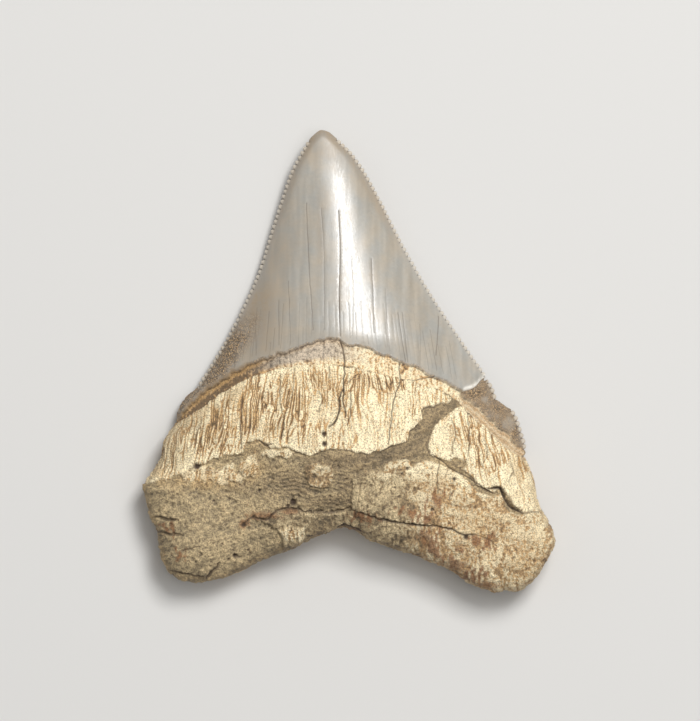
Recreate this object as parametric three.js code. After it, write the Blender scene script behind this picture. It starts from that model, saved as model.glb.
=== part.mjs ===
// A fossil megalodon tooth, one solid: enamel crown, bourlette (the band below the enamel), two-lobed root.
// It lies on its flat labial face with the bulging lingual face up, and the crown points along +Y.
// Millimetres, +Z up. The origin is on the resting plane, under the middle of the tooth.

import * as THREE from "three";
import { ConvexHull } from "three/addons/math/ConvexHull.js";
import { ImprovedNoise } from "three/addons/math/ImprovedNoise.js";

// Rim: the line where the lingual and the labial face meet
const ROOT_RIM = 4.2; // height above the resting plane round the root
const CROWN_RIM = 1.5; // height of the cutting edges
const ROOT_WALL = 0.8; // the root's side stands upright over this height
const CUTTING_EDGE = 0.3; // thickness of the serrated edge
const CROWN_FOOT_Y = -1.0;
const CROWN_TIP_Y = 28.9;
const TIP_LIFT = 1.5; // the upper half of the crown bends this far towards the lingual face
const TIP_LIFT_START_Y = 8.0;
const RIM_CHANGE = 5.0; // how far above and below the neck the rim changes from root to crown

// Lingual face, measured up from the rim
const CROWN_BULGE = 7.0; // at the foot of the crown
const CROWN_TAPER = 0.8; // how the bulge thins towards the tip: under 1 keeps it full
const CROWN_ROUND = 0.8; // how the bulge falls off towards the cutting edges
const CROWN_EDGE_REACH = 0.8;
const ROOT_BULGE = 4.0; // on the lobes
const ROOT_ROUND = 5.5; // how far the root's rounded side reaches in
const TORUS = { x: -1.5, y: -9.0, rise: 4.2, halfWidth: 13, halfHeight: 10 }; // thickest place of the root
const BULGE_CHANGE = 2.5; // how far above and below the neck the bulge changes from root to crown
const ROOT_LUMP = { size: 4.5, rise: 0.4, variant: 0.5 };
const FIBRE_RIDGE = { spacing: 2.8, rise: 0.16, reach: 10 }; // ridges that run down from the bourlette

// Labial face
const LABIAL_ROUND = 5.0;
const CROWN_HOLLOW = { x: 0.5, y: 4.0, depth: 0.7, halfWidth: 6.5, halfHeight: 5.0 };
const FLAT_BELOW = 0.05; // where the face would stand off by less than this it lies flat

// Steps on the lingual face
const ENAMEL_STEP = 0.3; // the enamel stands above the bourlette
const PLATE_STEP = 0.4; // what is left of the root's outer layer stands above the rest
const STEP_HALF_WIDTH = 0.2;
const RELIEF_INSET = 1.2; // steps and grooves fade out towards the rim

// Serrations of the cutting edges
const SERRATION_PITCH = 0.66;
const FRAGMENT_PITCH = 0.76; // on the cracked corner the beads are coarser
const SERRATION_DEPTH = 0.3;
const BEAD_SHAPE = [-0.5, 0.5, 0.5]; // a notch, then a flat-topped bead

// Mesh fineness
const EDGE_STEP = 0.9;
const LINGUAL_RINGS = [{ inset: 0.35, step: 0.75 }, { inset: 1.0, step: 0.95 }, { inset: 1.9, step: 1.0 }];
const LABIAL_RINGS = [{ inset: 0.4, step: 0.95 }, { inset: 1.3, step: 1.4 }, { inset: 2.8, step: 1.7 }];
const LINGUAL_LATTICE = { inset: 2.6, step: 1.05 };
const LABIAL_LATTICE = { inset: 3.9, step: 1.9 };
const FEATURE_STEP = 0.7;
const FEATURE_INSET = 0.5;
const RING_SLACK = 0.9; // a ring's places closer to the rim than this share of its inset are left out
const LEAST_GAP = 0.3;
const LATTICE_GAP = 0.62; // share of the lattice's own step

// Outline, anticlockwise from the right of the tip. Each stretch starts where the one before it ends.
const TIP = [[-1.6, 27.8], [-2.6, 28.6], [-3.6, 28.9], [-4.6, 28.2], [-5.2, 27.5]];
const LEFT_EDGE = [
  [-5.2, 27.5], [-7.2, 23.9], [-8.6, 19.9], [-10.0, 15.5], [-11.5, 10.8], [-13.6, 6.2], [-16.2, 1.3],
  [-19.1, -3.3],
];
const LEFT_ROOT_SIDE = [
  [-19.1, -3.3], [-20.8, -5.1], [-21.7, -7.1], [-23.0, -9.2], [-23.6, -10.7], [-23.7, -12.2], [-24.7, -14.2],
  [-25.7, -16.1], [-25.3, -18.2], [-24.8, -20.0], [-24.1, -21.3], [-23.8, -23.1],
];
const LEFT_LOBE = [
  [-23.8, -23.1], [-23.3, -25.0], [-22.1, -26.7], [-20.5, -27.4], [-18.1, -27.5], [-16.0, -27.1],
];
const ARCH = [
  [-16.0, -27.1], [-13.6, -26.2], [-11.7, -25.1], [-8.7, -23.8], [-5.6, -22.6], [-3.1, -21.5], [-1.1, -20.8],
  [0.8, -21.3], [3.5, -22.7], [6.5, -23.7], [9.8, -24.9], [12.8, -26.2],
];
const RIGHT_LOBE = [
  [12.8, -26.2], [14.8, -27.6], [17.0, -28.5], [18.8, -28.9], [21.5, -28.4], [23.4, -26.8], [24.7, -24.8],
  [25.7, -22.6], [25.3, -21.0],
];
const RIGHT_ROOT_SIDE = [
  [25.3, -21.0], [23.9, -18.5], [23.2, -16.6], [23.0, -14.6], [22.4, -13.0], [21.8, -11.8],
];
const FRAGMENT_EDGE = [[21.8, -11.8], [21.9, -10.5], [21.4, -8.6], [20.7, -6.7], [20.2, -6.0]];
const FRAGMENT_CHIP = [[20.2, -6.0], [19.2, -5.4], [18.3, -4.7]];
const FRAGMENT_TOP = [[18.3, -4.7], [18.0, -3.7], [17.5, -2.7], [17.2, -2.3]];
const NOTCH = [[17.2, -2.3], [16.7, -2.5], [17.0, -1.8]];
const RIGHT_EDGE = [
  [17.0, -1.8], [15.5, 0.3], [13.4, 3.4], [11.0, 7.0], [8.4, 11.3], [5.9, 15.9], [3.9, 19.9], [1.8, 23.7],
  [0.2, 26.0], [-1.6, 27.8],
];

// Lower edge of the enamel and of the bourlette on the lingual face, and of the enamel on the labial face
const ENAMEL_LINE = [
  [-21.0, -7.0], [-19.6, -5.3], [-16.2, -2.6], [-11.2, 0.2], [-4.7, 2.3], [-1.5, 2.7], [3.2, 1.2],
  [8.8, -1.1], [13.9, -3.8], [17.7, -7.0], [21.7, -11.3],
];
const NECK_LINE = [
  [-21.9, -8.0], [-19.2, -6.5], [-15.2, -3.7], [-11.2, -1.7], [-4.1, -0.4], [2.5, -1.3], [8.2, -2.7],
  [12.7, -4.4], [14.7, -6.6], [18.8, -9.7], [21.8, -11.9],
];
const LABIAL_ENAMEL_LINE = [
  [-20.0, -6.0], [-13.0, -4.5], [-6.0, -2.2], [0.0, -1.4], [6.0, -2.6], [13.0, -5.6], [20.5, -10.5],
];

// What is left of the root's outer layer, as loops.
// Where a loop runs past the outline the layer wraps round the side.
const UPPER_LEFT_PLATE = [
  [-27.0, -15.0], [-21.6, -14.3], [-19.2, -13.2], [-16.0, -11.8], [-13.1, -11.3], [-12.7, -10.0],
  [-11.0, -9.8], [-9.7, -10.5], [-7.5, -10.7], [-5.0, -11.6], [-2.7, -10.8], [-0.6, -11.0], [2.4, -11.3],
  [5.2, -10.5], [7.2, -9.7], [7.4, -8.6], [8.9, -7.1], [9.0, -6.0], [12.5, -4.8], [8.2, -2.7], [2.5, -1.3],
  [-4.1, -0.4], [-11.2, -1.7], [-15.2, -3.7], [-19.2, -6.5], [-21.9, -8.0], [-27.0, -9.0],
];
const UPPER_RIGHT_PLATE = [
  [13.9, -5.7], [12.5, -6.3], [11.3, -7.3], [10.4, -8.3], [9.6, -10.3], [10.2, -11.6], [11.3, -12.0],
  [14.8, -14.1], [15.9, -15.4], [17.7, -16.1], [18.8, -15.7], [19.8, -17.1], [20.5, -18.3], [21.4, -18.7],
  [27.0, -17.5], [27.0, -12.0], [21.8, -11.9], [18.8, -9.7], [14.7, -6.6],
];
const LOWER_PLATE = [
  [-8.3, -30.0], [-8.3, -22.6], [-9.2, -20.6], [-12.1, -19.3], [-8.4, -18.4], [-2.2, -18.6], [0.2, -18.3],
  [0.3, -17.0], [0.5, -14.2], [1.7, -13.7], [3.9, -13.5], [4.7, -12.5], [7.2, -12.1], [7.7, -13.1],
  [8.7, -12.3], [10.9, -12.6], [14.5, -14.6], [15.5, -15.9], [17.7, -16.7], [18.6, -16.5], [19.9, -18.7],
  [27.0, -19.0], [27.0, -30.0],
];
const ISLAND_PLATE = [
  [-5.5, -13.1], [-3.7, -12.7], [-2.1, -13.3], [-2.5, -15.3], [-4.0, -15.5], [-5.3, -14.6],
];
const PLATES = [UPPER_LEFT_PLATE, UPPER_RIGHT_PLATE, LOWER_PLATE, ISLAND_PLATE];

// Open cracks, gouges and nutrient pits: each is a line with a half width and a depth. A pit is a short line.
const CROWN_CRACK = [[-1.2, 3.3], [-0.7, -0.5], [-0.7, -4.2], [-1.1, -6.3], [-2.3, -8.6]];
const RIGHT_LOBE_CRACK = [[14.9, -14.5], [16.0, -15.7], [18.3, -16.1], [20.2, -18.3], [21.4, -18.8]];
const ARCH_CRACK = [
  [-12.1, -19.3], [-8.4, -18.3], [-2.2, -18.5], [1.6, -18.6], [6.5, -19.9], [12.0, -20.6], [15.3, -21.3],
];
const GROOVES = [
  { line: CROWN_CRACK, halfWidth: 0.4, depth: 0.5 },
  { line: RIGHT_LOBE_CRACK, halfWidth: 0.4, depth: 0.6 },
  { line: ARCH_CRACK, halfWidth: 0.4, depth: 0.4 },
  { line: [[-17.8, -27.0], [-16.1, -25.0]], halfWidth: 0.4, depth: 0.4 },
  { line: [[-24.4, -19.4], [-21.2, -19.9]], halfWidth: 0.5, depth: 0.4 },
  { line: [[-23.8, -21.2], [-20.6, -21.4]], halfWidth: 0.5, depth: 0.4 },
  { line: [[-3.2, -8.8], [-3.2, -9.1]], halfWidth: 0.5, depth: 0.5 },
  { line: [[-3.2, -10.1], [-3.2, -10.4]], halfWidth: 0.5, depth: 0.5 },
  { line: [[-7.5, -17.8], [-6.7, -17.4]], halfWidth: 0.5, depth: 0.5 },
  { line: [[-19.3, -13.1], [-18.8, -12.9]], halfWidth: 0.6, depth: 0.5 },
  { line: [[-14.4, -24.3], [-14.1, -24.0]], halfWidth: 0.5, depth: 0.4 },
  { line: [[12.6, -12.6], [13.5, -13.3]], halfWidth: 0.8, depth: 0.4 },
  { line: [[14.0, -21.6], [14.5, -22.0]], halfWidth: 0.5, depth: 0.4 },
];
const LABIAL_GROOVE = { line: LABIAL_ENAMEL_LINE, halfWidth: 0.5, depth: 0.3 };

const { lerp, smoothstep, clamp } = THREE.MathUtils;

// Evenly spaced places along a smooth line, each with the direction to the right of the way along it.
// Along the outline that direction points out of the tooth.
function placesAlong(points, step, closed = false) {
  const through = points.map(([x, y]) => new THREE.Vector3(x, y, 0));
  const curve = new THREE.CatmullRomCurve3(through, closed, "centripetal");
  const count = Math.max(1, Math.round(curve.getLength() / step));
  return Array.from({ length: count + 1 }, (_, i) => {
    const at = curve.getPointAt(i / count);
    const along = curve.getTangentAt(i / count);
    return { x: at.x, y: at.y, outX: along.y, outY: -along.x };
  });
}

const shift = (p, out) => ({ x: p.x + p.outX * out, y: p.y + p.outY * out });
const stretchPlaces = (points, step) => placesAlong(points, step).slice(0, -1);

function serrate(points, pitch) {
  const steps = stretchPlaces(points, pitch / BEAD_SHAPE.length);
  return steps.map((p, i) => shift(p, SERRATION_DEPTH * BEAD_SHAPE[i % BEAD_SHAPE.length]));
}

const stretches = [
  { points: TIP },
  { points: LEFT_EDGE, pitch: SERRATION_PITCH },
  { points: LEFT_ROOT_SIDE },
  { points: LEFT_LOBE },
  { points: ARCH },
  { points: RIGHT_LOBE },
  { points: RIGHT_ROOT_SIDE },
  { points: FRAGMENT_EDGE, pitch: FRAGMENT_PITCH },
  { points: FRAGMENT_CHIP },
  { points: FRAGMENT_TOP, pitch: FRAGMENT_PITCH },
  { points: NOTCH },
  { points: RIGHT_EDGE, pitch: SERRATION_PITCH },
];
const outlineAt = (step) => stretches.flatMap(({ points }) => stretchPlaces(points, step));
const rim = stretches.flatMap(({ points, pitch }) => {
  return pitch ? serrate(points, pitch) : stretchPlaces(points, EDGE_STEP);
});
const plainOutline = outlineAt(EDGE_STEP / 2);

function isInside(x, y, loop) {
  let inside = false;
  loop.forEach((a, i) => {
    const b = loop[(i + 1) % loop.length];
    const crosses = a.y > y !== b.y > y;
    if (crosses && x < a.x + ((y - a.y) / (b.y - a.y)) * (b.x - a.x)) inside = !inside;
  });
  return inside;
}

function distanceToSegment(x, y, a, b) {
  const dx = b.x - a.x;
  const dy = b.y - a.y;
  const share = clamp(((x - a.x) * dx + (y - a.y) * dy) / (dx * dx + dy * dy), 0, 1);
  return Math.hypot(x - a.x - share * dx, y - a.y - share * dy);
}

function distanceToLine(x, y, line) {
  const ends = line.slice(1);
  return Math.min(...ends.map((b, i) => distanceToSegment(x, y, line[i], b)));
}

const closedOutline = [...plainOutline, plainOutline[0]];
const distanceToRim = (x, y) => distanceToLine(x, y, closedOutline);
const isWellInside = (p, inset) => isInside(p.x, p.y, plainOutline) && distanceToRim(p.x, p.y) > inset;

// Reads off a line that runs one way along one axis: the other coordinate, at a value of this one
function readOff(places, along, across, value) {
  const next = places.findIndex((p) => p[along] > value);
  if (next === 0) return places[0][across];
  if (next < 0) return places[places.length - 1][across];
  const [a, b] = [places[next - 1], places[next]];
  return lerp(a[across], b[across], (value - a[along]) / (b[along] - a[along]));
}

const enamelPlaces = placesAlong(ENAMEL_LINE, FEATURE_STEP);
const neckPlaces = placesAlong(NECK_LINE, FEATURE_STEP);
const leftEdgePlaces = placesAlong(LEFT_EDGE, EDGE_STEP).reverse();
const rightEdgePlaces = placesAlong(RIGHT_EDGE, EDGE_STEP);
const plateLoops = PLATES.map((loop) => placesAlong(loop, FEATURE_STEP, true));
const withPlaces = (groove) => ({ ...groove, places: placesAlong(groove.line, FEATURE_STEP) });
const grooves = GROOVES.map(withPlaces);
const labialGroove = withPlaces(LABIAL_GROOVE);

const aboveEnamelLine = (x, y) => y - readOff(enamelPlaces, "x", "y", x);
const aboveNeck = (x, y) => y - readOff(neckPlaces, "x", "y", x);

// 1 on the crown and 0 on the root, with a soft change of this half width at the neck
const crownShare = (x, y, halfWidth) => smoothstep(aboveNeck(x, y), -halfWidth, halfWidth);

const tipLift = (y) => TIP_LIFT * clamp((y - TIP_LIFT_START_Y) / (CROWN_TIP_Y - TIP_LIFT_START_Y), 0, 1) ** 2;
const rimHeight = (x, y) => lerp(ROOT_RIM, CROWN_RIM + tipLift(y), crownShare(x, y, RIM_CHANGE));
const rimThickness = (x, y) => lerp(ROOT_WALL, CUTTING_EDGE, crownShare(x, y, RIM_CHANGE));
const rimTop = (x, y) => rimHeight(x, y) + rimThickness(x, y) / 2;
const rimFoot = (x, y) => rimHeight(x, y) - rimThickness(x, y) / 2;

const quarterRound = (share) => Math.sqrt(1 - (1 - clamp(share, 0, 1)) ** 2);
const swelling = (x, y, { x: midX, y: midY, halfWidth, halfHeight }) => {
  return Math.exp(-(((x - midX) / halfWidth) ** 2) - ((y - midY) / halfHeight) ** 2);
};
const lumps = new ImprovedNoise();

function crownBulge(x, y, inset) {
  const left = readOff(leftEdgePlaces, "y", "x", y);
  const right = readOff(rightEdgePlaces, "y", "x", y);
  const across = clamp((x - left) / (right - left), 0, 1);
  const taper = Math.max(0, (CROWN_TIP_Y - y) / (CROWN_TIP_Y - CROWN_FOOT_Y)) ** CROWN_TAPER;
  const round = (4 * across * (1 - across)) ** CROWN_ROUND;
  return CROWN_BULGE * taper * round * quarterRound(inset / CROWN_EDGE_REACH);
}

function rootBulge(x, y, inset) {
  const lump = ROOT_LUMP.rise * lumps.noise(x / ROOT_LUMP.size, y / ROOT_LUMP.size, ROOT_LUMP.variant);
  const fade = 1 - clamp(-aboveNeck(x, y) / FIBRE_RIDGE.reach, 0, 1);
  const ridge = FIBRE_RIDGE.rise * fade * Math.sin((2 * Math.PI * x) / FIBRE_RIDGE.spacing);
  const height = ROOT_BULGE + TORUS.rise * swelling(x, y, TORUS) + lump + ridge;
  return height * quarterRound(inset / ROOT_ROUND);
}

function grooveDepth(x, y, { places, halfWidth, depth }) {
  return depth * (1 - smoothstep(distanceToLine(x, y, places), 0, halfWidth));
}

// How far a place is up a plate's edge: 0 off the plate, 1 on it
function plateShare(x, y, loop) {
  const reach = distanceToLine(x, y, loop);
  return smoothstep(isInside(x, y, loop) ? reach : -reach, -STEP_HALF_WIDTH, STEP_HALF_WIDTH);
}

function lingualRelief(x, y) {
  const enamel = ENAMEL_STEP * smoothstep(aboveEnamelLine(x, y), -STEP_HALF_WIDTH, STEP_HALF_WIDTH);
  const plate = PLATE_STEP * Math.max(...plateLoops.map((loop) => plateShare(x, y, loop)));
  return enamel + plate - Math.max(...grooves.map((groove) => grooveDepth(x, y, groove)));
}

function lingualHeight(x, y) {
  const inset = distanceToRim(x, y);
  const bulge = lerp(rootBulge(x, y, inset), crownBulge(x, y, inset), crownShare(x, y, BULGE_CHANGE));
  return rimTop(x, y) + bulge + lingualRelief(x, y) * smoothstep(inset, 0, RELIEF_INSET);
}

// The labial face is flat but for a hollow at the crown's foot, a groove below the enamel and the bent tip.
function labialHeight(x, y) {
  const hollow = CROWN_HOLLOW.depth * swelling(x, y, CROWN_HOLLOW) + grooveDepth(x, y, labialGroove);
  const face = Math.max(0, tipLift(y) + hollow - FLAT_BELOW);
  return lerp(rimFoot(x, y), face, quarterRound(distanceToRim(x, y) / LABIAL_ROUND));
}

// Places are kept only where no earlier one is too close, so the triangles stay well shaped.
function addSpaced(kept, places, gap) {
  for (const p of places) {
    if (kept.every((q) => Math.hypot(p.x - q.x, p.y - q.y) > gap)) kept.push(p);
  }
}

function insetRing({ inset, step }) {
  const ring = outlineAt(step).map((p) => shift(p, -inset));
  return ring.filter((p) => isWellInside(p, RING_SLACK * inset));
}

// Places beside a line, so that the step or groove there keeps its shape
function besideLine(places, offsets) {
  const rows = offsets.flatMap((out) => places.map((p) => shift(p, out)));
  return rows.filter((p) => isWellInside(p, FEATURE_INSET));
}

function lattice({ inset, step }) {
  const rowStep = (step * Math.sqrt(3)) / 2;
  const places = [];
  for (let row = 0, y = -CROWN_TIP_Y; y < CROWN_TIP_Y; row += 1, y += rowStep) {
    for (let x = -CROWN_TIP_Y + (row % 2) * (step / 2); x < CROWN_TIP_Y; x += step) places.push({ x, y });
  }
  return places.filter((p) => isWellInside(p, inset));
}

function planPlaces(rings, lines, inner) {
  const kept = [...rim];
  rings.forEach((ring) => addSpaced(kept, insetRing(ring), LEAST_GAP));
  lines.forEach(({ places, offsets }) => addSpaced(kept, besideLine(places, offsets), LEAST_GAP));
  addSpaced(kept, lattice(inner), LATTICE_GAP * inner.step);
  return kept;
}

// Delaunay triangles of a flat set of places: the lower hull of the same places lifted on a paraboloid
function triangulate(places) {
  const liftedPlace = ({ x, y }, index) => Object.assign(new THREE.Vector3(x, y, x * x + y * y), { index });
  const lifted = places.map(liftedPlace);
  const lower = new ConvexHull().setFromPoints(lifted).faces.filter((face) => face.normal.z < 0);
  const corners = lower.map((face) => [0, 1, 2].map((k) => face.getEdge(k).head().point));
  const isKept = ([a, b, c]) => isInside((a.x + b.x + c.x) / 3, (a.y + b.y + c.y) / 3, rim);
  const within = corners.filter(isKept);
  return within.map(([a, b, c]) => {
    const turnsLeft = (b.x - a.x) * (c.y - a.y) > (b.y - a.y) * (c.x - a.x);
    return turnsLeft ? [a.index, b.index, c.index] : [a.index, c.index, b.index];
  });
}

// Both plans start with the rim's places, and a low wall round the tooth joins the two faces there.
function toothGeometry() {
  const stepRows = [-STEP_HALF_WIDTH, STEP_HALF_WIDTH];
  const stepLines = [enamelPlaces, ...plateLoops].map((places) => ({ places, offsets: stepRows }));
  const grooveLine = ({ places, halfWidth }) => ({ places, offsets: [0, -halfWidth, halfWidth] });
  const upper = planPlaces(LINGUAL_RINGS, [...grooves.map(grooveLine), ...stepLines], LINGUAL_LATTICE);
  const lower = planPlaces(LABIAL_RINGS, [grooveLine(labialGroove)], LABIAL_LATTICE);

  const lift = (plan, atRim, atFace) => {
    return plan.flatMap(({ x, y }, i) => [x, y, i < rim.length ? atRim(x, y) : atFace(x, y)]);
  };
  const positions = [...lift(upper, rimTop, lingualHeight), ...lift(lower, rimFoot, labialHeight)];
  const below = (i) => upper.length + i;
  const wall = rim.flatMap((_, i) => {
    const next = (i + 1) % rim.length;
    return [[below(i), below(next), next], [below(i), next, i]];
  });
  const labial = triangulate(lower).map(([a, b, c]) => [below(a), below(c), below(b)]);

  const geometry = new THREE.BufferGeometry();
  geometry.setAttribute("position", new THREE.Float32BufferAttribute(positions, 3));
  geometry.setIndex([triangulate(upper), wall, labial].flat(2));
  geometry.computeVertexNormals();
  return geometry;
}

const fossil = new THREE.MeshStandardMaterial({ color: 0xcdbfa6, roughness: 0.6, metalness: 0 });
const tooth = new THREE.Mesh(toothGeometry(), fossil);
tooth.name = "tooth";

const part = new THREE.Group();
part.add(tooth);

export default part;
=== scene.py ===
"""A fossil megalodon tooth, lying on its labial face: a serrated enamel crown over a flaking, two-lobed root.

The tooth is one mesh. Its plan, as seen from above, is filled with triangles and lifted to the lingual and
the labial face, and then the plates, cracks, pits and fibres of the old root are carved into it. The same
carving leaves marks on the points, and the material takes its colours and gloss from those.
Lengths in the shape code are in millimetres, and the finished mesh is in metres.
"""

import math
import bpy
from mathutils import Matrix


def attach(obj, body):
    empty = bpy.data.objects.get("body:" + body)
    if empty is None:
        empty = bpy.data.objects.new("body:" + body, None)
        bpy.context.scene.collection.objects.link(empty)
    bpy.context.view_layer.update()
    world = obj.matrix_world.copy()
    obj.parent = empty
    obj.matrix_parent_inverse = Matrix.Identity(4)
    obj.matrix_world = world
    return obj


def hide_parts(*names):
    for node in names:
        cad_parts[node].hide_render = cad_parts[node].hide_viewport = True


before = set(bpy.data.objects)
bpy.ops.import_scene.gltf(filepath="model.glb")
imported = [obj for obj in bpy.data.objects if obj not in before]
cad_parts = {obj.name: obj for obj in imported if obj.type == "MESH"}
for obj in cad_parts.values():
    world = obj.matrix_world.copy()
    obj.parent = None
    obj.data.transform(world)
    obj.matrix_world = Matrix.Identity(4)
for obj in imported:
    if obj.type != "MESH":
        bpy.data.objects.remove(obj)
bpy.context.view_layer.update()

from types import SimpleNamespace

import bpy
import numpy as np
from bpy.props import FloatProperty, FloatVectorProperty, PointerProperty
from mathutils import Vector
from mathutils.geometry import delaunay_2d_cdt
from mathutils.kdtree import KDTree

bl_info = {
    "name": "Fossil Megalodon Tooth",
    "version": (1, 0, 0),
    "blender": (4, 5, 0),
    "location": "View3D > Sidebar > Fossil",
    "description": "Builds a fossil megalodon tooth with serrated enamel and a cracked root, on a plain stage",
    "category": "Add Mesh",
}

NODE = "tooth"
MM = 0.001
FRAME_HEIGHT = 90.1  # what the image is high, at the tooth
SEED = 20


# Outline, anticlockwise from the right of the tip. Each stretch starts where the one before it ends.
TIP = [(-1.6, 27.8), (-2.6, 28.6), (-3.6, 28.9), (-4.6, 28.2), (-5.2, 27.5)]
LEFT_EDGE = [
    (-5.2, 27.5), (-7.2, 23.9), (-8.6, 19.9), (-10.0, 15.5), (-11.5, 10.8), (-13.6, 6.2), (-16.2, 1.3),
    (-19.1, -3.3),
]
LEFT_ROOT_SIDE = [
    (-19.1, -3.3), (-20.6, -4.6), (-21.5, -6.2), (-21.7, -7.6), (-22.7, -8.8), (-23.5, -10.3),
    (-23.7, -12.2),
    (-24.6, -13.8), (-25.7, -15.7), (-25.4, -17.4), (-24.9, -19.4), (-24.2, -20.7), (-23.8, -23.1),
]
LEFT_LOBE = [(-23.8, -23.1), (-23.3, -25.0), (-22.1, -26.7), (-20.5, -27.4), (-18.1, -27.5), (-16.0, -27.1)]
ARCH = [
    (-16.0, -27.1), (-13.6, -26.2), (-11.7, -25.1), (-8.7, -23.9), (-7.0, -23.4), (-5.6, -22.6),
    (-3.1, -21.5),
    (-1.1, -20.8), (0.8, -21.3), (3.5, -22.7), (6.5, -23.7), (9.8, -24.9), (12.8, -26.2),
]
RIGHT_LOBE = [
    (12.8, -26.2), (14.8, -27.6), (17.0, -28.5), (18.4, -28.9), (19.2, -28.6), (20.2, -28.8), (21.5, -28.4),
    (23.4, -26.8), (24.7, -24.8), (25.7, -22.6), (25.3, -21.0),
]
RIGHT_ROOT_SIDE = [(25.3, -21.0), (23.9, -18.5), (23.2, -16.6), (23.0, -14.6), (22.4, -13.0), (21.8, -11.8)]
FRAGMENT_EDGE = [(21.8, -11.8), (21.9, -10.5), (21.4, -8.6), (20.7, -6.7), (20.2, -6.0)]
FRAGMENT_CHIP = [(20.2, -6.0), (19.2, -5.4), (18.3, -4.7)]
FRAGMENT_TOP = [(18.3, -4.7), (18.0, -3.7), (17.5, -2.7), (17.2, -2.3)]
NOTCH = [(17.2, -2.3), (16.75, -2.45), (17.0, -1.8)]
RIGHT_EDGE = [
    (17.0, -1.8), (15.5, 0.3), (13.4, 3.4), (11.0, 7.0), (8.4, 11.3), (5.9, 15.9), (3.9, 19.9), (1.8, 23.7),
    (0.2, 26.0), (-1.6, 27.8),
]
CUTTING, FRAGMENT, PLAIN = 0.66, 0.76, None  # pitch of the serrations
STRETCHES = [
    (TIP, PLAIN), (LEFT_EDGE, CUTTING), (LEFT_ROOT_SIDE, PLAIN), (LEFT_LOBE, PLAIN), (ARCH, PLAIN),
    (RIGHT_LOBE, PLAIN), (RIGHT_ROOT_SIDE, PLAIN), (FRAGMENT_EDGE, FRAGMENT), (FRAGMENT_CHIP, PLAIN),
    (FRAGMENT_TOP, FRAGMENT), (NOTCH, PLAIN), (RIGHT_EDGE, CUTTING),
]

# Lower edge of the enamel and of the bourlette on the lingual face, and of the enamel on the labial face
ENAMEL_LINE = [
    (-21.2, -7.2), (-19.6, -5.3), (-17.7, -3.7), (-16.2, -2.6), (-13.8, -1.3), (-11.2, 0.1),
    (-8.1, 1.0), (-4.7, 2.3),
    (-2.7, 2.8), (-1.5, 2.8), (-1.0, 2.2), (1.4, 1.8), (3.2, 1.2), (5.7, 0.2), (8.8, -1.1),
    (10.5, -2.0), (12.4, -3.0),
    (13.9, -3.8), (14.9, -4.6), (17.7, -7.0), (20.3, -9.3), (22.2, -11.6),
]
NECK_LINE = [
    (-22.4, -8.2), (-19.2, -6.5), (-16.8, -4.8), (-15.2, -3.7), (-13.5, -2.7), (-11.2, -1.7),
    (-7.5, -0.8), (-4.1, -0.4),
    (-0.8, -0.5), (2.5, -1.3), (6.0, -2.1), (8.2, -2.7), (12.7, -4.4), (14.7, -6.6), (18.8, -9.7),
    (22.2, -12.1),
]
# The band widens beside the broken corner, below the line where crown and root meet
BAND_FOOT_LINE = NECK_LINE[:-3] + [(14.7, -6.3), (16.8, -8.4), (19.6, -11.1), (22.2, -12.6)]
LABIAL_ENAMEL_LINE = [
    (-21.0, -6.3), (-13.0, -4.5), (-6.0, -2.2), (0.0, -1.4), (6.0, -2.6), (13.0, -5.6), (22.0, -11.5),
]
# Broken lower right corner of the main crown
CHIP_LINE = [(13.7, -4.1), (14.0, -3.8), (15.0, -3.5), (15.7, -3.1), (16.2, -2.5), (16.9, -2.0), (17.8, -1.3)]

# What is left of the root's outer layer, as loops
UPPER_LEFT_PLATE = [
    (-27.0, -15.0), (-21.6, -14.3), (-19.2, -13.2), (-16.0, -11.8), (-13.1, -11.3), (-12.7, -10.0),
    (-11.0, -9.8),
    (-9.7, -10.5), (-7.5, -10.7), (-5.0, -11.6), (-2.7, -10.8), (-0.6, -11.0), (2.4, -11.3),
    (5.2, -10.5), (7.2, -9.7),
    (7.4, -8.6), (8.9, -7.1), (9.0, -6.0), (12.5, -4.8), (8.2, -2.7), (2.5, -1.3), (-4.1, -0.4),
    (-11.2, -1.7),
    (-15.2, -3.7), (-19.2, -6.5), (-21.9, -8.0), (-27.0, -9.0),
]
UPPER_RIGHT_PLATE = [
    (13.9, -5.7), (12.5, -6.3), (11.3, -7.3), (10.4, -8.3), (9.6, -10.3), (10.2, -11.6), (11.3, -12.0),
    (14.8, -14.1),
    (15.9, -15.4), (17.7, -16.1), (18.8, -15.7), (19.8, -17.1), (20.5, -18.3), (21.4, -18.7), (27.0, -17.5),
    (27.0, -12.0), (21.8, -11.9), (18.8, -9.7), (14.7, -6.6),
]
LOWER_PLATE = [
    (-8.3, -30.0), (-8.3, -22.6), (-9.2, -20.6), (-12.1, -19.3), (-8.4, -18.4), (-2.2, -18.6), (0.2, -18.3),
    (0.3, -17.0), (0.5, -14.2), (1.7, -13.7), (3.9, -13.5), (4.7, -12.5), (7.2, -12.1), (7.7, -13.1),
    (8.7, -12.3),
    (10.9, -12.6), (14.5, -14.6), (15.5, -15.9), (17.7, -16.7), (18.6, -16.5), (19.9, -18.7), (27.0, -19.0),
    (27.0, -30.0),
]
ISLAND_PLATE = [(-5.5, -13.1), (-3.7, -12.7), (-2.1, -13.3), (-2.5, -15.3), (-4.0, -15.5), (-5.3, -14.6)]

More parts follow.
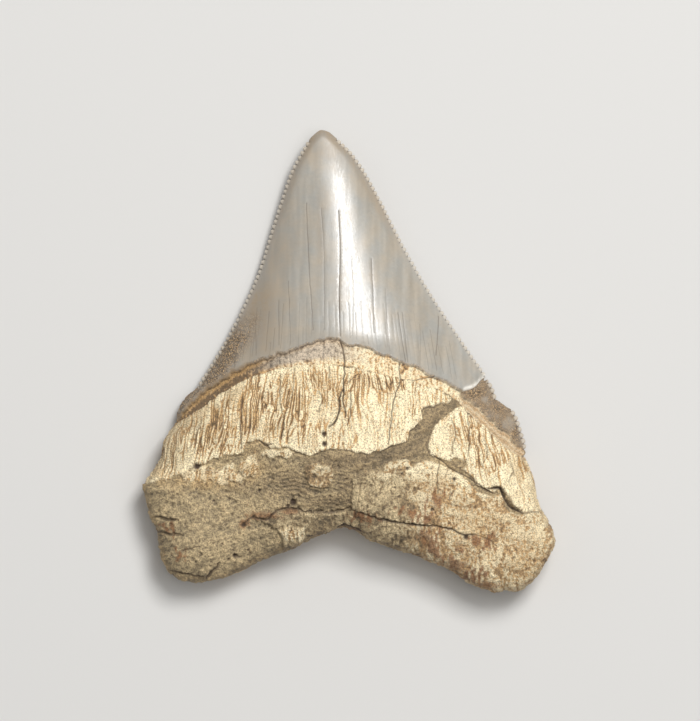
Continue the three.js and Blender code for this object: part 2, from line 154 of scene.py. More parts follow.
# Cracks of the root: points, half width, depth and how dark the crack is inside
ROOT_CRACKS = [
    ([(-1.2, 2.6), (-0.6, 0.2), (-0.7, -1.6), (-0.8, -4.6), (-0.6, -6.0), (-0.5, -6.9)], 0.15, 0.4, 1.0),
    ([(-0.8, -3.4), (-1.3, -4.7), (-1.3, -6.2), (-1.7, -7.3), (-2.5, -8.2)], 0.19, 0.45, 1.0),
    ([(10.1, -11.5), (11.3, -12.2), (12.5, -13.3), (14.4, -14.2), (15.9, -15.3), (17.7, -16.2)],
     0.13, 0.22, 0.9),
    ([(17.2, -15.8), (18.6, -15.7), (19.2, -16.8), (20.1, -18.1), (21.4, -18.7)], 0.3, 0.7, 1.0),
    ([(-13.0, -20.1), (-12.0, -19.3), (-10.1, -19.5), (-9.5, -18.7), (-8.4, -18.3), (-4.8, -18.5)],
     0.22, 0.4, 0.9),
    ([(-4.8, -18.5), (-2.2, -18.6), (0.3, -18.2), (3.9, -19.5), (6.5, -19.9), (9.3, -20.2)],
     0.16, 0.3, 0.8),
    ([(3.0, -19.2), (6.5, -19.9), (9.3, -20.2), (12.1, -20.6), (13.7, -21.3), (15.4, -21.4)],
     0.18, 0.4, 1.0),
    ([(15.4, -21.4), (16.6, -21.8), (18.3, -22.9)], 0.12, 0.2, 0.7),
    ([(6.2, -0.4), (6.2, -2.6), (5.4, -4.9), (5.0, -7.9), (4.7, -10.2)], 0.13, 0.22, 0.9),
    ([(6.4, -2.4), (8.7, -2.2), (10.4, -1.9)], 0.12, 0.2, 0.8),
    ([(-0.6, -3.0), (1.0, -1.7)], 0.12, 0.18, 0.7),
    ([(0.1, -3.8), (0.1, -6.3), (-0.2, -7.9)], 0.14, 0.2, 0.8),
    ([(-3.8, -3.8), (-3.5, -4.7), (-3.8, -6.3)], 0.13, 0.2, 0.7),
    ([(-2.5, -0.7), (-2.6, -2.2)], 0.12, 0.2, 0.7),
    ([(-6.9, -1.0), (-6.9, -3.2), (-7.1, -4.6)], 0.12, 0.2, 0.6),
    ([(-8.5, -1.7), (-8.6, -4.6), (-8.1, -7.3), (-8.4, -9.6)], 0.13, 0.22, 0.7),
    ([(-13.2, -4.4), (-13.4, -7.2), (-13.3, -10.8)], 0.16, 0.25, 0.8),
    ([(-15.1, -5.0), (-15.6, -7.4), (-15.9, -9.4)], 0.12, 0.2, 0.6),
    ([(-18.2, -7.4), (-19.0, -9.6), (-19.2, -11.4)], 0.12, 0.2, 0.6),
    ([(12.6, -7.1), (13.0, -9.0), (12.6, -11.5)], 0.14, 0.22, 0.7),
    ([(14.5, -6.6), (14.8, -9.0), (14.6, -11.7)], 0.14, 0.22, 0.8),
    ([(16.6, -9.2), (16.9, -11.2), (16.4, -13.2)], 0.12, 0.2, 0.6),
    ([(19.8, -12.8), (20.1, -13.9), (19.6, -15.0)], 0.14, 0.22, 0.7),
    ([(11.1, -12.1), (10.8, -14.3), (10.9, -16.3)], 0.14, 0.22, 0.8),
    ([(12.8, -16.1), (12.3, -17.2)], 0.13, 0.2, 0.7),
    ([(12.2, -17.7), (13.9, -18.0), (15.5, -18.1)], 0.12, 0.2, 0.6),
    ([(16.1, -23.3), (16.1, -24.8)], 0.13, 0.2, 0.7),
    ([(-21.8, -14.6), (-20.2, -14.0), (-19.6, -13.4), (-16.6, -12.3), (-13.3, -11.6)], 0.12, 0.15, 0.35),
    ([(-11.1, -9.8), (-10.4, -10.4), (-9.6, -10.2)], 0.14, 0.25, 0.9),
    ([(-17.9, -27.1), (-17.0, -26.2), (-16.2, -25.0)], 0.26, 0.4, 0.9),
    ([(-20.8, -23.4), (-18.6, -23.0)], 0.13, 0.2, 0.8),
    ([(-24.4, -19.3), (-22.8, -19.6), (-21.2, -19.7)], 0.3, 0.35, 0.7),
    ([(-23.9, -21.2), (-22.4, -21.5), (-20.8, -21.6)], 0.3, 0.35, 0.7),
    ([(-22.4, -26.1), (-20.3, -26.6), (-18.2, -27.0)], 0.2, 0.3, 0.8),
    ([(-1.7, -20.6), (-0.9, -20.1), (0.6, -20.5), (1.8, -21.1)], 0.3, 0.4, 1.0),
]
# Hairlines of the enamel, in the same way
CROWN_CRACKS = [
    ([(-5.3, 19.7), (-5.1, 13.9), (-4.8, 8.6), (-4.5, 3.9)], 0.1, 0.018, 0.55),
    ([(-3.5, 19.0), (-3.2, 14.3), (-3.1, 3.9)], 0.09, 0.015, 0.45),
    ([(-1.4, 18.7), (-1.2, 13.5), (-1.3, 7.5), (-1.2, 3.1)], 0.1, 0.025, 0.85),
    ([(2.6, 12.7), (2.8, 8.5), (3.0, 3.5)], 0.1, 0.018, 0.6),
    ([(5.9, 5.9), (6.4, 2.6), (6.8, -0.1)], 0.1, 0.018, 0.6),
    ([(6.4, 5.9), (6.8, 3.0), (7.1, -0.1)], 0.09, 0.018, 0.5),
    ([(10.9, 5.5), (10.8, 3.0), (10.6, 0.7)], 0.1, 0.018, 0.55),
    ([(-7.5, 9.9), (-7.4, 6.0), (-7.3, 1.9)], 0.09, 0.015, 0.35),
    ([(-8.7, 7.5), (-8.7, 1.9)], 0.09, 0.015, 0.35),
    ([(-11.6, 5.0), (-11.5, 0.6)], 0.09, 0.015, 0.3),
    ([(0.2, 13.0), (0.4, 8.0), (0.3, 3.2)], 0.08, 0.012, 0.3),
    ([(4.3, 9.0), (4.6, 4.5), (4.9, 1.2)], 0.08, 0.012, 0.3),
    ([(8.6, 4.5), (8.7, 1.5), (8.6, -0.6)], 0.08, 0.012, 0.3),
]
# Pits: place, radius and depth
ROOT_PITS = [
    (-3.2, -9.0, 0.42, 0.5), (-3.1, -10.2, 0.38, 0.4), (-7.0, -17.5, 0.55, 0.5), (-7.6, -17.9, 0.3, 0.3),
    (-11.2, -16.0, 0.26, 0.3), (-19.0, -13.0, 0.5, 0.45), (-14.2, -24.2, 0.42, 0.4),
    (-15.0, -24.6, 0.25, 0.3),
    (14.4, -21.8, 0.45, 0.4), (7.1, -13.2, 0.28, 0.3), (6.4, -13.8, 0.2, 0.2),
    (12.9, -14.6, 0.3, 0.3), (10.2, -18.3, 0.3, 0.3), (-16.9, -17.3, 0.22, 0.25),
    (-14.9, -17.0, 0.22, 0.25),
    (-13.2, -20.3, 0.4, 0.35), (5.5, -15.5, 0.2, 0.2), (-12.6, -23.4, 0.2, 0.2), (-15.8, -22.6, 0.2, 0.2),
]
COMB = {"count": 44, "length": (1.2, 6.5), "half_width": 0.07, "depth": 0.01, "darkness": (0.12, 0.4)}
SPECKS = {"count": 900, "radius": (0.08, 0.24), "depth": 0.16}

# Patches of stain: place and half widths, and for the crown their strength
RIVER = [
    (13.7, -5.0), (11.0, -6.5), (9.4, -8.3), (8.3, -10.5), (5.7, -11.6), (2.5, -12.3), (-0.6, -12.6),
    (-4.0, -13.1),
]
MATRIX_PATCHES = [(-6.6, -15.2, 5.2, 2.2), (-0.7, -15.3, 1.3, 2.4), (-2.0, -17.4, 5.0, 1.2)]
RUST_PATCHES = [
    (10.0, -20.8, 2.8, 5.0), (1.9, -19.3, 2.6, 1.2), (13.2, -24.8, 3.4, 2.5), (16.5, -22.2, 2.2, 1.6),
    (7.5, -18.4, 2.0, 1.4), (-22.6, -20.9, 1.8, 1.5), (-21.5, -24.0, 2.0, 1.6), (11.2, -17.0, 1.8, 2.6),
    (15.2, -26.4, 3.6, 1.4),
]
GOLD_ROOT_PATCHES = [
    (-18.0, -14.9, 4.6, 1.3), (-12.4, -13.6, 2.0, 1.4), (-23.4, -13.9, 1.2, 1.6), (11.6, -15.6, 1.6, 2.2),
    (-14.0, -6.5, 7.0, 4.5), (-4.5, -4.0, 3.5, 3.0), (21.5, -24.5, 3.0, 3.5), (16.5, -20.5, 5.0, 4.5),
    (21.4, -14.2, 1.8, 4.0),
]
PALE_PATCH = (-7.3, -21.3, 1.9, 1.2)
POCKET = (13.2, -12.8, 1.25, 0.95)
FLAKE_PATCHES = [
    (-18.6, -13.9, 4.4, 1.2), (-12.6, -13.2, 1.8, 1.2), PALE_PATCH, (-23.0, -13.6, 1.6, 1.6),
    (-14.8, -14.4, 2.0, 0.9), (-8.4, -11.4, 2.6, 0.6),
]
RUST_SMEARS = [
    (-10.6, -19.1, 2.8, 0.6), (-13.0, -20.1, 0.9, 0.6), (-7.4, -18.5, 1.4, 0.4), (0.2, -20.9, 2.0, 0.5),
    (9.4, -21.8, 1.0, 1.5), (13.4, -25.2, 1.6, 1.0), (17.0, -27.6, 1.8, 0.7), (10.8, -17.2, 0.8, 1.2),
]
GREY_END = (-22.3, -10.8, 2.6, 3.2)
GRIME_PATCHES = [(15.6, -4.0, 1.9, 1.1), (18.7, -5.9, 1.3, 0.7), (20.6, -9.0, 0.8, 2.4)]
FRAGMENT_GREY_PATCHES = [(20.0, -7.8, 0.9, 1.3), (16.9, -4.7, 0.6, 0.5)]
GOLD_CROWN_PATCHES = [
    (-3.6, 15.6, 0.5, 3.8, 0.4), (-3.4, 26.4, 2.4, 2.0, 0.25), (-15.6, 1.6, 2.4, 5.0, 0.5),
    (-11.5, 6.0, 3.2, 7.5, 0.6), (-9.4, 13.0, 2.4, 6.0, 0.3),
]


def colour_property(name, description, default):
    return FloatVectorProperty(
        name=name, description=description, subtype="COLOR", size=3, default=default, min=0.0, max=1.0)


class ToothShape(bpy.types.PropertyGroup):
    """Sizes of the tooth's forms."""

    crown_bulge: FloatProperty(
        name="Crown bulge",
        description="Height of the lingual face over the cutting edges, at the crown's foot",
        default=0.0070, min=0.0, unit="LENGTH")
    root_bulge: FloatProperty(
        name="Root bulge", description="Height of the root lobes over their rim",
        default=0.0040, min=0.0, unit="LENGTH")
    torus_rise: FloatProperty(
        name="Root swelling", description="How far the middle of the root stands above its lobes",
        default=0.0042, min=0.0, unit="LENGTH")
    serration_depth: FloatProperty(
        name="Serration depth", description="From the top of a bead to the notch beside it",
        default=0.0003, min=0.0, unit="LENGTH")
    enamel_step: FloatProperty(
        name="Enamel step", description="How far the enamel stands above the band below it",
        default=0.0003, min=0.0, unit="LENGTH")
    plate_step: FloatProperty(
        name="Plate step", description="Thickness of what is left of the root's outer layer",
        default=0.0004, min=0.0, unit="LENGTH")
    fibre_relief: FloatProperty(
        name="Fibre relief", description="From the ridges to the furrows of the fibrous plates",
        default=0.00026, min=0.0, unit="LENGTH")


class ToothFinish(bpy.types.PropertyGroup):
    """Colours and gloss of the tooth."""

    enamel: colour_property("Enamel", "Silver grey of the crown", (0.415, 0.382, 0.322))
    enamel_tan: colour_property(
        "Enamel stain", "Tan stain on the crown's edges and its lower left", (0.27, 0.175, 0.085))
    band_grey: colour_property("Band", "Grey of the band below the enamel", (0.40, 0.33, 0.25))
    cream: colour_property("Plate ridges", "Pale cream of the root's outer layer", (0.96, 0.83, 0.56))
    tan: colour_property(
        "Plate furrows", "Tan between the fibres of the root's outer layer", (0.62, 0.38, 0.165))
    gold: colour_property(
        "Gold stain", "Yellow brown of the stripe at the neck and of the thin flakes", (0.48, 0.29, 0.105))
    lobe: colour_property("Lobes", "Grey beige of the root under its outer layer", (0.37, 0.285, 0.16))
    matrix: colour_property("Matrix", "Grey brown of the old sediment in the scars", (0.235, 0.172, 0.092))
    rust: colour_property("Rust", "Red brown spots of the lower root", (0.24, 0.10, 0.03))
    # This dark brown is also the painted shade along the plates' banks, in the notches of the serrations and
    # at the foot of the enamel's step.
    crack_and_shade: colour_property("Cracks", "Dark brown in the cracks and pits", (0.050, 0.026, 0.010))
    enamel_roughness: FloatProperty(
        name="Enamel roughness",
        description="Gloss of the enamel", default=0.33, min=0.0, max=1.0, subtype="FACTOR")
    root_roughness: FloatProperty(
        name="Root roughness",
        description="Dullness of the root", default=0.82, min=0.0, max=1.0, subtype="FACTOR")


class ToothStage(bpy.types.PropertyGroup):
    """Floor, lights and camera."""

    floor: colour_property("Floor", "Colour of the plain floor", (0.70, 0.69, 0.67))
    camera_height: FloatProperty(
        name="Camera height", description="How far the camera is above the floor",
        default=0.8, min=0.1, unit="LENGTH")
    key_power: FloatProperty(
        name="Key light",
        description="Power of the soft light at the upper right", default=3.9, min=0.0, unit="POWER")
    panel_power: FloatProperty(
        name="Panel light",
        description="Power of the wide soft light overhead", default=3.4, min=0.0, unit="POWER")
    fill_power: FloatProperty(
        name="Fill light",
        description="Power of the soft light at the left", default=0.3, min=0.0, unit="POWER")
    sky: FloatProperty(
        name="Room light", description="Strength of the even light from all round", default=0.2, min=0.0)


LINE_CHUNK = 24  # pieces of a line that are looked at together
FAR = 7.0  # no form reaches farther in from the rim
SLOPE_STEP, FLATTEST = 0.1, 0.3  # for the slope of the noise that draws the furrows


def smooth(value, low, high):
    """0 below low, 1 above high, and a soft change between."""
    share = np.clip((value - low) / (high - low), 0.0, 1.0)
    return share * share * (3.0 - 2.0 * share)


def blend(a, b, share):
    return a + (b - a) * share


def corner_value(cell, seed):
    """A fixed random number from -1 to 1 for each lattice cell."""
    mixed = cell[0] * 374761393 + cell[1] * 668265263 + cell[2] * 1440662683 + seed * 974634777
    mixed = mixed.astype(np.uint32)
    mixed = (mixed ^ (mixed >> np.uint32(13))) * np.uint32(1274126177)
    mixed = mixed ^ (mixed >> np.uint32(16))
    return (mixed & np.uint32(0xFFFFFF)).astype(float) / 0x7FFFFF - 1.0


def noise(x, y, z=0.0, seed=0):
    """Smooth random values from -1 to 1 over a lattice of unit cells."""
    x, y, z = np.broadcast_arrays(x, y, z)
    place = np.stack([x, y, z])
    cell = np.floor(place)
    share = place - cell
    share = share * share * (3.0 - 2.0 * share)
    cell = cell.astype(np.int64)
    total = 0.0
    for corner in np.ndindex(2, 2, 2):
        step = np.array(corner).reshape(3, 1)
        weight = np.prod(np.where(step == 1, share, 1.0 - share), axis=0)
        total = total + weight * corner_value(cell + step, seed)
    return total


def rough_noise(x, y, z=0.0, seed=0, layers=3):
    """Noise with finer and weaker layers on top."""
    total, weight = 0.0, 0.55
    for layer in range(layers):
        scale = 2.03 ** layer
        total = total + weight * noise(x * scale, y * scale, z * scale, seed + layer)
        weight *= 0.55
    return total


def curve_through(points, step, closed=False):
    """Even places along a smooth line through a few points."""
    knots = np.array(points, float)
    if closed:
        padded = np.vstack([knots[-1:], knots, knots[:2]])
    else:
        padded = np.vstack([2 * knots[:1] - knots[1:2], knots, 2 * knots[-1:] - knots[-2:-1]])
    share = np.linspace(0.0, 1.0, 20, endpoint=False)[:, None]
    pieces = []
    for p0, p1, p2, p3 in zip(padded, padded[1:], padded[2:], padded[3:]):
        t1 = math.dist(p0, p1) ** 0.5
        t2 = t1 + math.dist(p1, p2) ** 0.5
        t3 = t2 + math.dist(p2, p3) ** 0.5
        t = blend(t1, t2, share)
        a1 = blend(p0, p1, t / t1)
        a2 = blend(p1, p2, (t - t1) / (t2 - t1))
        a3 = blend(p2, p3, (t - t2) / (t3 - t2))
        b1 = blend(a1, a2, t / t2)
        b2 = blend(a2, a3, (t - t1) / (t3 - t1))
        pieces.append(blend(b1, b2, (t - t1) / (t2 - t1)))
    fine = np.vstack(pieces + [knots[:1] if closed else knots[-1:]])
    run = np.r_[0.0, np.cumsum(np.hypot(*np.diff(fine, axis=0).T))]
    at = np.linspace(0.0, run[-1], max(2, round(run[-1] / step) + 1))
    return np.c_[np.interp(at, run, fine[:, 0]), np.interp(at, run, fine[:, 1])]


def side_of(line):
    """Unit directions to the right of the way along a line. Round the outline they point out of the tooth."""
    along = np.gradient(line, axis=0)
    along /= np.maximum(np.hypot(*along.T), 1e-9)[:, None]
    return np.c_[along[:, 1], -along[:, 0]]


def jagged(points, step, sway, seed, closed=False):
    """A smooth line made as uneven as a broken edge."""
    line = curve_through(points, step, closed)
    shift = sway * rough_noise(line[:, 0] / 0.8, line[:, 1] / 0.8, seed=seed)
    moved = line + side_of(line) * shift[:, None]
    if closed:
        moved[-1] = moved[0]
    return moved


def line_distance(xy, line, reach):
    """Distance to a line, and how far along it the nearest place is (0 to 1). Beyond reach it is infinite."""
    distance, share = np.full(len(xy), np.inf), np.zeros(len(xy))
    last = len(line) - 1
    for start in range(0, last, LINE_CHUNK):
        part = line[start:start + LINE_CHUNK + 1]
        near = np.flatnonzero(np.all((xy > part.min(0) - reach) & (xy < part.max(0) + reach), axis=1))
        for i, (a, b) in enumerate(zip(part[:-1], part[1:]), start):
            along = b - a
            offset = xy[near] - a
            at = np.clip((offset @ along) / max(along @ along, 1e-12), 0.0, 1.0)
            away = np.hypot(offset[:, 0] - at * along[0], offset[:, 1] - at * along[1])
            closer = away < distance[near]
            distance[near[closer]] = away[closer]
            share[near[closer]] = (i + at[closer]) / last
    return distance, share


def inside_loop(xy, loop):
    order = np.argsort(xy[:, 1])
    x, y = xy[order].T
    sorted_inside = np.zeros(len(xy), bool)
    for a, b in zip(loop, np.roll(loop, -1, axis=0)):
        if a[1] == b[1]:
            continue
        level = slice(*np.searchsorted(y, sorted((a[1], b[1]))))
        sorted_inside[level] ^= x[level] < a[0] + (y[level] - a[1]) / (b[1] - a[1]) * (b[0] - a[0])
    inside = np.empty(len(xy), bool)
    inside[order] = sorted_inside
    return inside


def depth_inside(xy, loop, reach):
    """Distance to a loop's edge, counted positive inside it."""
    away, _ = line_distance(xy, loop, reach)
    return np.where(inside_loop(xy, loop), away, -away)


def patch(x, y, spots):
    """Soft round patches, 1 in their middle."""
    total = np.zeros_like(x)
    for px, py, rx, ry in spots:
        total = np.maximum(total, np.exp(-(((x - px) / rx) ** 2) - ((y - py) / ry) ** 2))
    return total


class Outline:
    """The rim of the tooth, with the beads of its cutting edges."""

    BEAD_POINTS = 6
    PLAIN_STEP = 0.2

    def __init__(self, serration_depth):
        places, beads = [], []
        for points, pitch in STRETCHES:
            step = pitch / self.BEAD_POINTS if pitch else self.PLAIN_STEP
            line = curve_through(points, step)[:-1]
            count = np.arange(len(line))
            if pitch:
                round_top = np.abs(np.sin(np.pi * count / self.BEAD_POINTS)) ** 0.6
                size = 1.0 + 0.25 * noise(count / self.BEAD_POINTS, 0.5, seed=SEED)
                bead = serration_depth * (round_top * size - 0.5)
            else:
                bead = 0.05 * rough_noise(line[:, 0] / 0.7, line[:, 1] / 0.7, seed=SEED + 1)
            places.append(line)
            beads.append(bead)
        self.base = np.vstack(places)
        self.bead = np.concatenate(beads)
        self.serrated = np.concatenate([np.full(len(b), bool(s[1])) for b, s in zip(beads, STRETCHES)])
        wrapped = np.vstack([self.base[-6:], self.base, self.base[:6]])
        out = side_of(wrapped)
        out = sum(np.roll(out, k, axis=0) for k in range(-3, 4))
        out = out[6:-6]
        self.out = out / np.hypot(*out.T)[:, None]
        self.loop = np.vstack([self.base, self.base[:1]])

    def ring(self, inset):
        """The rim moved inwards. The beads fade out, and folds in sharp corners are bridged."""
        fade = max(0.0, 1.0 - inset / 0.5) ** 2
        ring = self.base + self.out * (self.bead * fade - inset)[:, None]
        away, _ = line_distance(ring, self.loop, 2.0)
        good = away > inset - np.abs(self.bead) * fade - 0.02 - 0.1 * inset
        if not good.all():
            at = np.arange(len(ring))
            for axis in (0, 1):
                ring[:, axis] = np.interp(at, at[good], ring[good, axis], period=len(ring))
        return ring


def height_along(points):
    line = curve_through(points, 0.3)
    return lambda x: np.interp(x, line[:, 0], line[:, 1])


def across_at(points):
    line = curve_through(points, 0.3)
    order = np.argsort(line[:, 1])
    return lambda y: np.interp(y, line[order, 1], line[order, 0])


neck_y = height_along(NECK_LINE)
left_x = across_at(LEFT_EDGE + LEFT_ROOT_SIDE[1:4])
right_x = across_at(FRAGMENT_EDGE[1:] + FRAGMENT_CHIP[1:] + FRAGMENT_TOP[1:] + RIGHT_EDGE)

ROOT_RIM, CROWN_RIM = 4.2, 1.5
ROOT_WALL, CUTTING_EDGE = 0.8, 0.3
CROWN_FOOT_Y, CROWN_TIP_Y = -1.0, 28.9
TIP_LIFT, TIP_LIFT_START_Y = 1.5, 8.0
RIM_CHANGE, BULGE_CHANGE = 5.0, 2.5
ROOT_ROUND, LABIAL_ROUND, CROWN_EDGE_REACH = 5.5, 5.0, 0.8


def quarter_round(share):
    return np.sqrt(1.0 - (1.0 - np.clip(share, 0.0, 1.0)) ** 2)


def crown_share(x, y, half_width):
    """1 on the crown and 0 on the root, with a soft change at the neck."""
    return smooth(y - neck_y(x), -half_width, half_width)


def tip_lift(y):
    return TIP_LIFT * np.clip((y - TIP_LIFT_START_Y) / (CROWN_TIP_Y - TIP_LIFT_START_Y), 0.0, 1.0) ** 2


def rim_height(x, y):
    return blend(ROOT_RIM, CROWN_RIM + tip_lift(y), crown_share(x, y, RIM_CHANGE))


def rim_half_thickness(x, y):
    return blend(ROOT_WALL, CUTTING_EDGE, crown_share(x, y, RIM_CHANGE)) / 2


def lingual_height(x, y, inset, shape):
    """The smooth form of the lingual face, before anything is carved into it."""
    left, right = left_x(y), right_x(y)
    across = np.clip((x - left) / (right - left), 0.0, 1.0)
    taper = np.maximum(0.0, (CROWN_TIP_Y - y) / (CROWN_TIP_Y - CROWN_FOOT_Y)) ** 0.8
    crown = shape.crown_bulge / MM * taper * (4 * across * (1 - across)) ** 0.8
    crown = crown * quarter_round(inset / CROWN_EDGE_REACH)
    torus = np.exp(-(((x + 1.5) / 13) ** 2) - ((y + 9.0) / 10) ** 2)
    lump = 0.45 * rough_noise(x / 4.5, y / 4.5, seed=SEED + 2, layers=2)
    root = (shape.root_bulge / MM + shape.torus_rise / MM * torus + lump) * quarter_round(inset / ROOT_ROUND)
    rim_top = rim_height(x, y) + rim_half_thickness(x, y)
    return rim_top + blend(root, crown, crown_share(x, y, BULGE_CHANGE))


def labial_height(x, y, inset):
    """The labial face is flat but for a hollow at the crown's foot, and it bends up at the tip."""
    hollow = 0.7 * np.exp(-(((x - 0.5) / 6.5) ** 2) - ((y - 4.0) / 5.0) ** 2)
    rim_foot = rim_height(x, y) - rim_half_thickness(x, y)
    return blend(rim_foot, tip_lift(y) + hollow, quarter_round(inset / LABIAL_ROUND))


class Lines:
    """Every broken edge and crack of the lingual face, as uneven lines."""

    STEP = 0.14

    def __init__(self):
        self.enamel = jagged(ENAMEL_LINE, self.STEP, 0.34, SEED + 10)
        self.neck = jagged(BAND_FOOT_LINE, self.STEP, 0.2, SEED + 11)
        self.chip = jagged(CHIP_LINE, self.STEP, 0.06, SEED + 12)
        loops = [UPPER_LEFT_PLATE, UPPER_RIGHT_PLATE, LOWER_PLATE, ISLAND_PLATE]
        self.plates = [jagged(p, self.STEP, 0.28, SEED + 13 + i, closed=True) for i, p in enumerate(loops)]
        self.root_cracks = [
            (jagged(p, self.STEP, 0.16, SEED + 30 + i), *sizes) for i, (p, *sizes) in enumerate(ROOT_CRACKS)]
        self.crown_cracks = [
            (jagged(p, self.STEP, 0.05, SEED + 80 + i), *sizes)
            for i, (p, *sizes) in enumerate(CROWN_CRACKS + self.comb())]

    def comb(self):
        """Fine hairlines that rise from the enamel's edge towards the tip."""
        rng = np.random.default_rng(SEED + 1)
        foot_x = np.linspace(-16.0, 13.0, COMB["count"]) + rng.uniform(-0.3, 0.3, COMB["count"])
        foot_y = np.interp(foot_x, *self.enamel.T) + rng.uniform(0.2, 1.2, COMB["count"])
        length = rng.uniform(*COMB["length"], COMB["count"])
        darkness = rng.uniform(*COMB["darkness"], COMB["count"])
        lines = []
        for x, y, rise, dark in zip(foot_x, foot_y, length, darkness):
            lean = 0.35 * rise * (TIP[2][0] - x) / (TIP[2][1] - y)
            points = [(x, y), (x + lean / 2, y + rise / 2), (x + lean, y + rise)]
            lines.append((points, COMB["half_width"], COMB["depth"], dark))
        return lines

    def rows(self):
        """Rows of points beside the lines, so that the mesh keeps their edges."""
        for line in [self.enamel, self.neck, self.chip, *self.plates]:
            for offset in (-0.07, 0.07):
                yield line + side_of(line) * offset
        for line, half_width, *_ in self.root_cracks + self.crown_cracks:
            for offset in (-half_width, 0.0, half_width):
                yield line + side_of(line) * offset


def crack_marks(xy, cracks):
    """How dark and how deep the cracks are."""
    dark, deep = np.zeros(len(xy)), np.zeros(len(xy))
    for line, half_width, depth, darkness in cracks:
        away, at = line_distance(xy, line, 2 * half_width)
        width = half_width * (0.35 + 0.65 * np.minimum(1.0, 5.0 * np.minimum(at, 1.0 - at)))
        within = np.clip(1.0 - away / width, 0.0, 1.0)
        dark = np.maximum(dark, darkness * smooth(within, 0.0, 0.75))
        deep = np.maximum(deep, depth * within)
    return dark, deep


def pit_marks(xy, pits):
    dark, deep = np.zeros(len(xy)), np.zeros(len(xy))
    for px, py, radius, depth in pits:
        near = (np.abs(xy[:, 0] - px) < radius) & (np.abs(xy[:, 1] - py) < radius)
        bent = 1.0 + 0.25 * noise(xy[near, 0] / 0.3, xy[near, 1] / 0.3, seed=SEED + 3)
        within = np.clip(1.0 - np.hypot(xy[near, 0] - px, xy[near, 1] - py) / (radius * bent), 0.0, 1.0)
        dark[near] = np.maximum(dark[near], smooth(within, 0.0, 0.55))
        deep[near] = np.maximum(deep[near], depth * smooth(within, 0.0, 0.7))
    return dark, deep


def specks():
    """Small pits scattered over the lobes and the lower plate."""
    rng = np.random.default_rng(SEED)
    count = SPECKS["count"]
    x, y = rng.uniform(-24, 24, count), rng.uniform(-28, -12, count)
    radius = rng.uniform(*SPECKS["radius"], count)
    return [(*spot, SPECKS["depth"]) for spot in zip(x, y, radius)]


def furrows(u, y, pitch, length, width, seed):
    """Thin lines that wander along the fibres: 1 in their middle. Where the noise is flat they stay thin."""
    value = noise(u / pitch, y / length, seed=seed)
    slope = np.abs(noise(u / pitch + SLOPE_STEP, y / length, seed=seed) - value) / SLOPE_STEP
    return 1.0 - smooth(np.abs(value) / np.maximum(slope, FLATTEST), 0.0, width)


def fibres(x, y):
    """The streaks of the root's outer layer: how pale they are, and how deep the furrows between them."""
    fan = x / (1.0 - 0.012 * (y + 6.0))
    sway = 0.4 * noise(x / 3.0, y / 4.5, seed=SEED + 4) + 0.12 * noise(x / 0.8, y / 1.3, seed=SEED + 5)
    u = fan + sway
    wide = rough_noise(u / 1.0, y / 5.0, seed=SEED + 6, layers=2)
    ridge = noise(u / 0.3, y / 1.6, seed=SEED + 7)
    strength = np.clip(0.8 + 0.45 * noise(x / 2.2, y / 2.2, seed=SEED + 8), 0.3, 1.0)
    furrow = furrows(u, y, 0.24, 2.4, 0.5, SEED + 9)
    furrow = np.maximum(furrow, 0.8 * furrows(u, y, 0.38, 1.1, 0.3, SEED + 50)) * strength
    tone = 0.76 + 0.12 * wide + 0.18 * ridge - 0.6 * furrow
    return tone, 0.7 * furrow + 0.3 * (0.5 - 0.5 * ridge)


def lingual_zones(xy, lines):
    """Which part of the lingual face each point is on, as shares from 0 to 1."""
    x, y = xy.T
    zone = SimpleNamespace()
    zone.enamel_y = np.interp(x, lines.enamel[:, 0], lines.enamel[:, 1])
    zone.neck_y = np.interp(x, lines.neck[:, 0], lines.neck[:, 1])
    zone.enamel = smooth(y - zone.enamel_y, -0.08, 0.08)
    zone.band = (1.0 - zone.enamel) * smooth(y - zone.neck_y, -0.1, 0.1)
    zone.root = 1.0 - np.maximum(zone.enamel, zone.band)
    depths = [depth_inside(xy, loop, 2.0) for loop in lines.plates]
    left, right, lower, island = (smooth(d, -0.09, 0.09) for d in depths)
    zone.pocket = smooth(patch(x, y, [POCKET]) + 0.15 * noise(x / 0.5, y / 0.5, seed=SEED + 53), 0.35, 0.5)
    zone.upper = np.maximum(left, right) * zone.root * (1.0 - zone.pocket)
    zone.lower = lower * zone.root * (1.0 - zone.upper) * (1.0 - zone.pocket)
    zone.island = island * zone.root
    zone.plate = np.maximum.reduce([zone.upper, zone.lower, zone.island])
    # Painted shade: a dark line on the lower ground just outside each plate's edge, at the foot of its step.
    # It is partly a real dark crack line there.
    banks = [np.exp(-(((d + 0.08) / 0.11) ** 2)) for d in depths]
    shown = 0.75 * np.clip(0.55 + 0.9 * noise(x / 1.7, y / 1.7, seed=SEED + 51), 0.0, 1.0)
    zone.bank = np.maximum.reduce([shown * banks[0], shown * banks[1], 0.5 * shown * banks[2]]) * zone.root
    zone.bank = zone.bank * (1.0 - 0.8 * smooth(-x, 11.0, 15.0))
    zone.lower_pale = np.exp(-np.abs(depths[2] - 0.5) / 0.6) * smooth(x, 2.0, 5.0) * smooth(y, -18.0, -14.0)
    zone.edge_pale = np.exp(-np.abs(np.maximum(depths[0], depths[1]) - 0.4) / 0.5) * zone.upper
    chip_y = np.interp(x, lines.chip[:, 0], lines.chip[:, 1])
    worn = zone.enamel + zone.band
    zone.fragment = smooth(chip_y - y, -0.07, 0.07) * smooth(x, 13.6, 13.9) * worn
    chip_rim = np.exp(-(((y - chip_y - 0.2) / 0.22) ** 2)) * smooth(x, 13.7, 14.2)
    zone.chip_rim = chip_rim * zone.enamel * (1.0 - zone.fragment)
    return zone


def grains(x, y):
    """Unevenness of several sizes that the whole face shares."""
    return SimpleNamespace(
        mottle=rough_noise(x / 1.3, y / 1.3, seed=SEED + 40, layers=4),
        grain=rough_noise(x / 0.24, y / 0.2, seed=SEED + 41, layers=2),
        streak=rough_noise(x / 0.35, y / 5.0, seed=SEED + 44, layers=2),
        lines=noise((x + 0.3 * y) / 1.5, (y - 0.3 * x) / 0.26, seed=SEED + 45),
    )


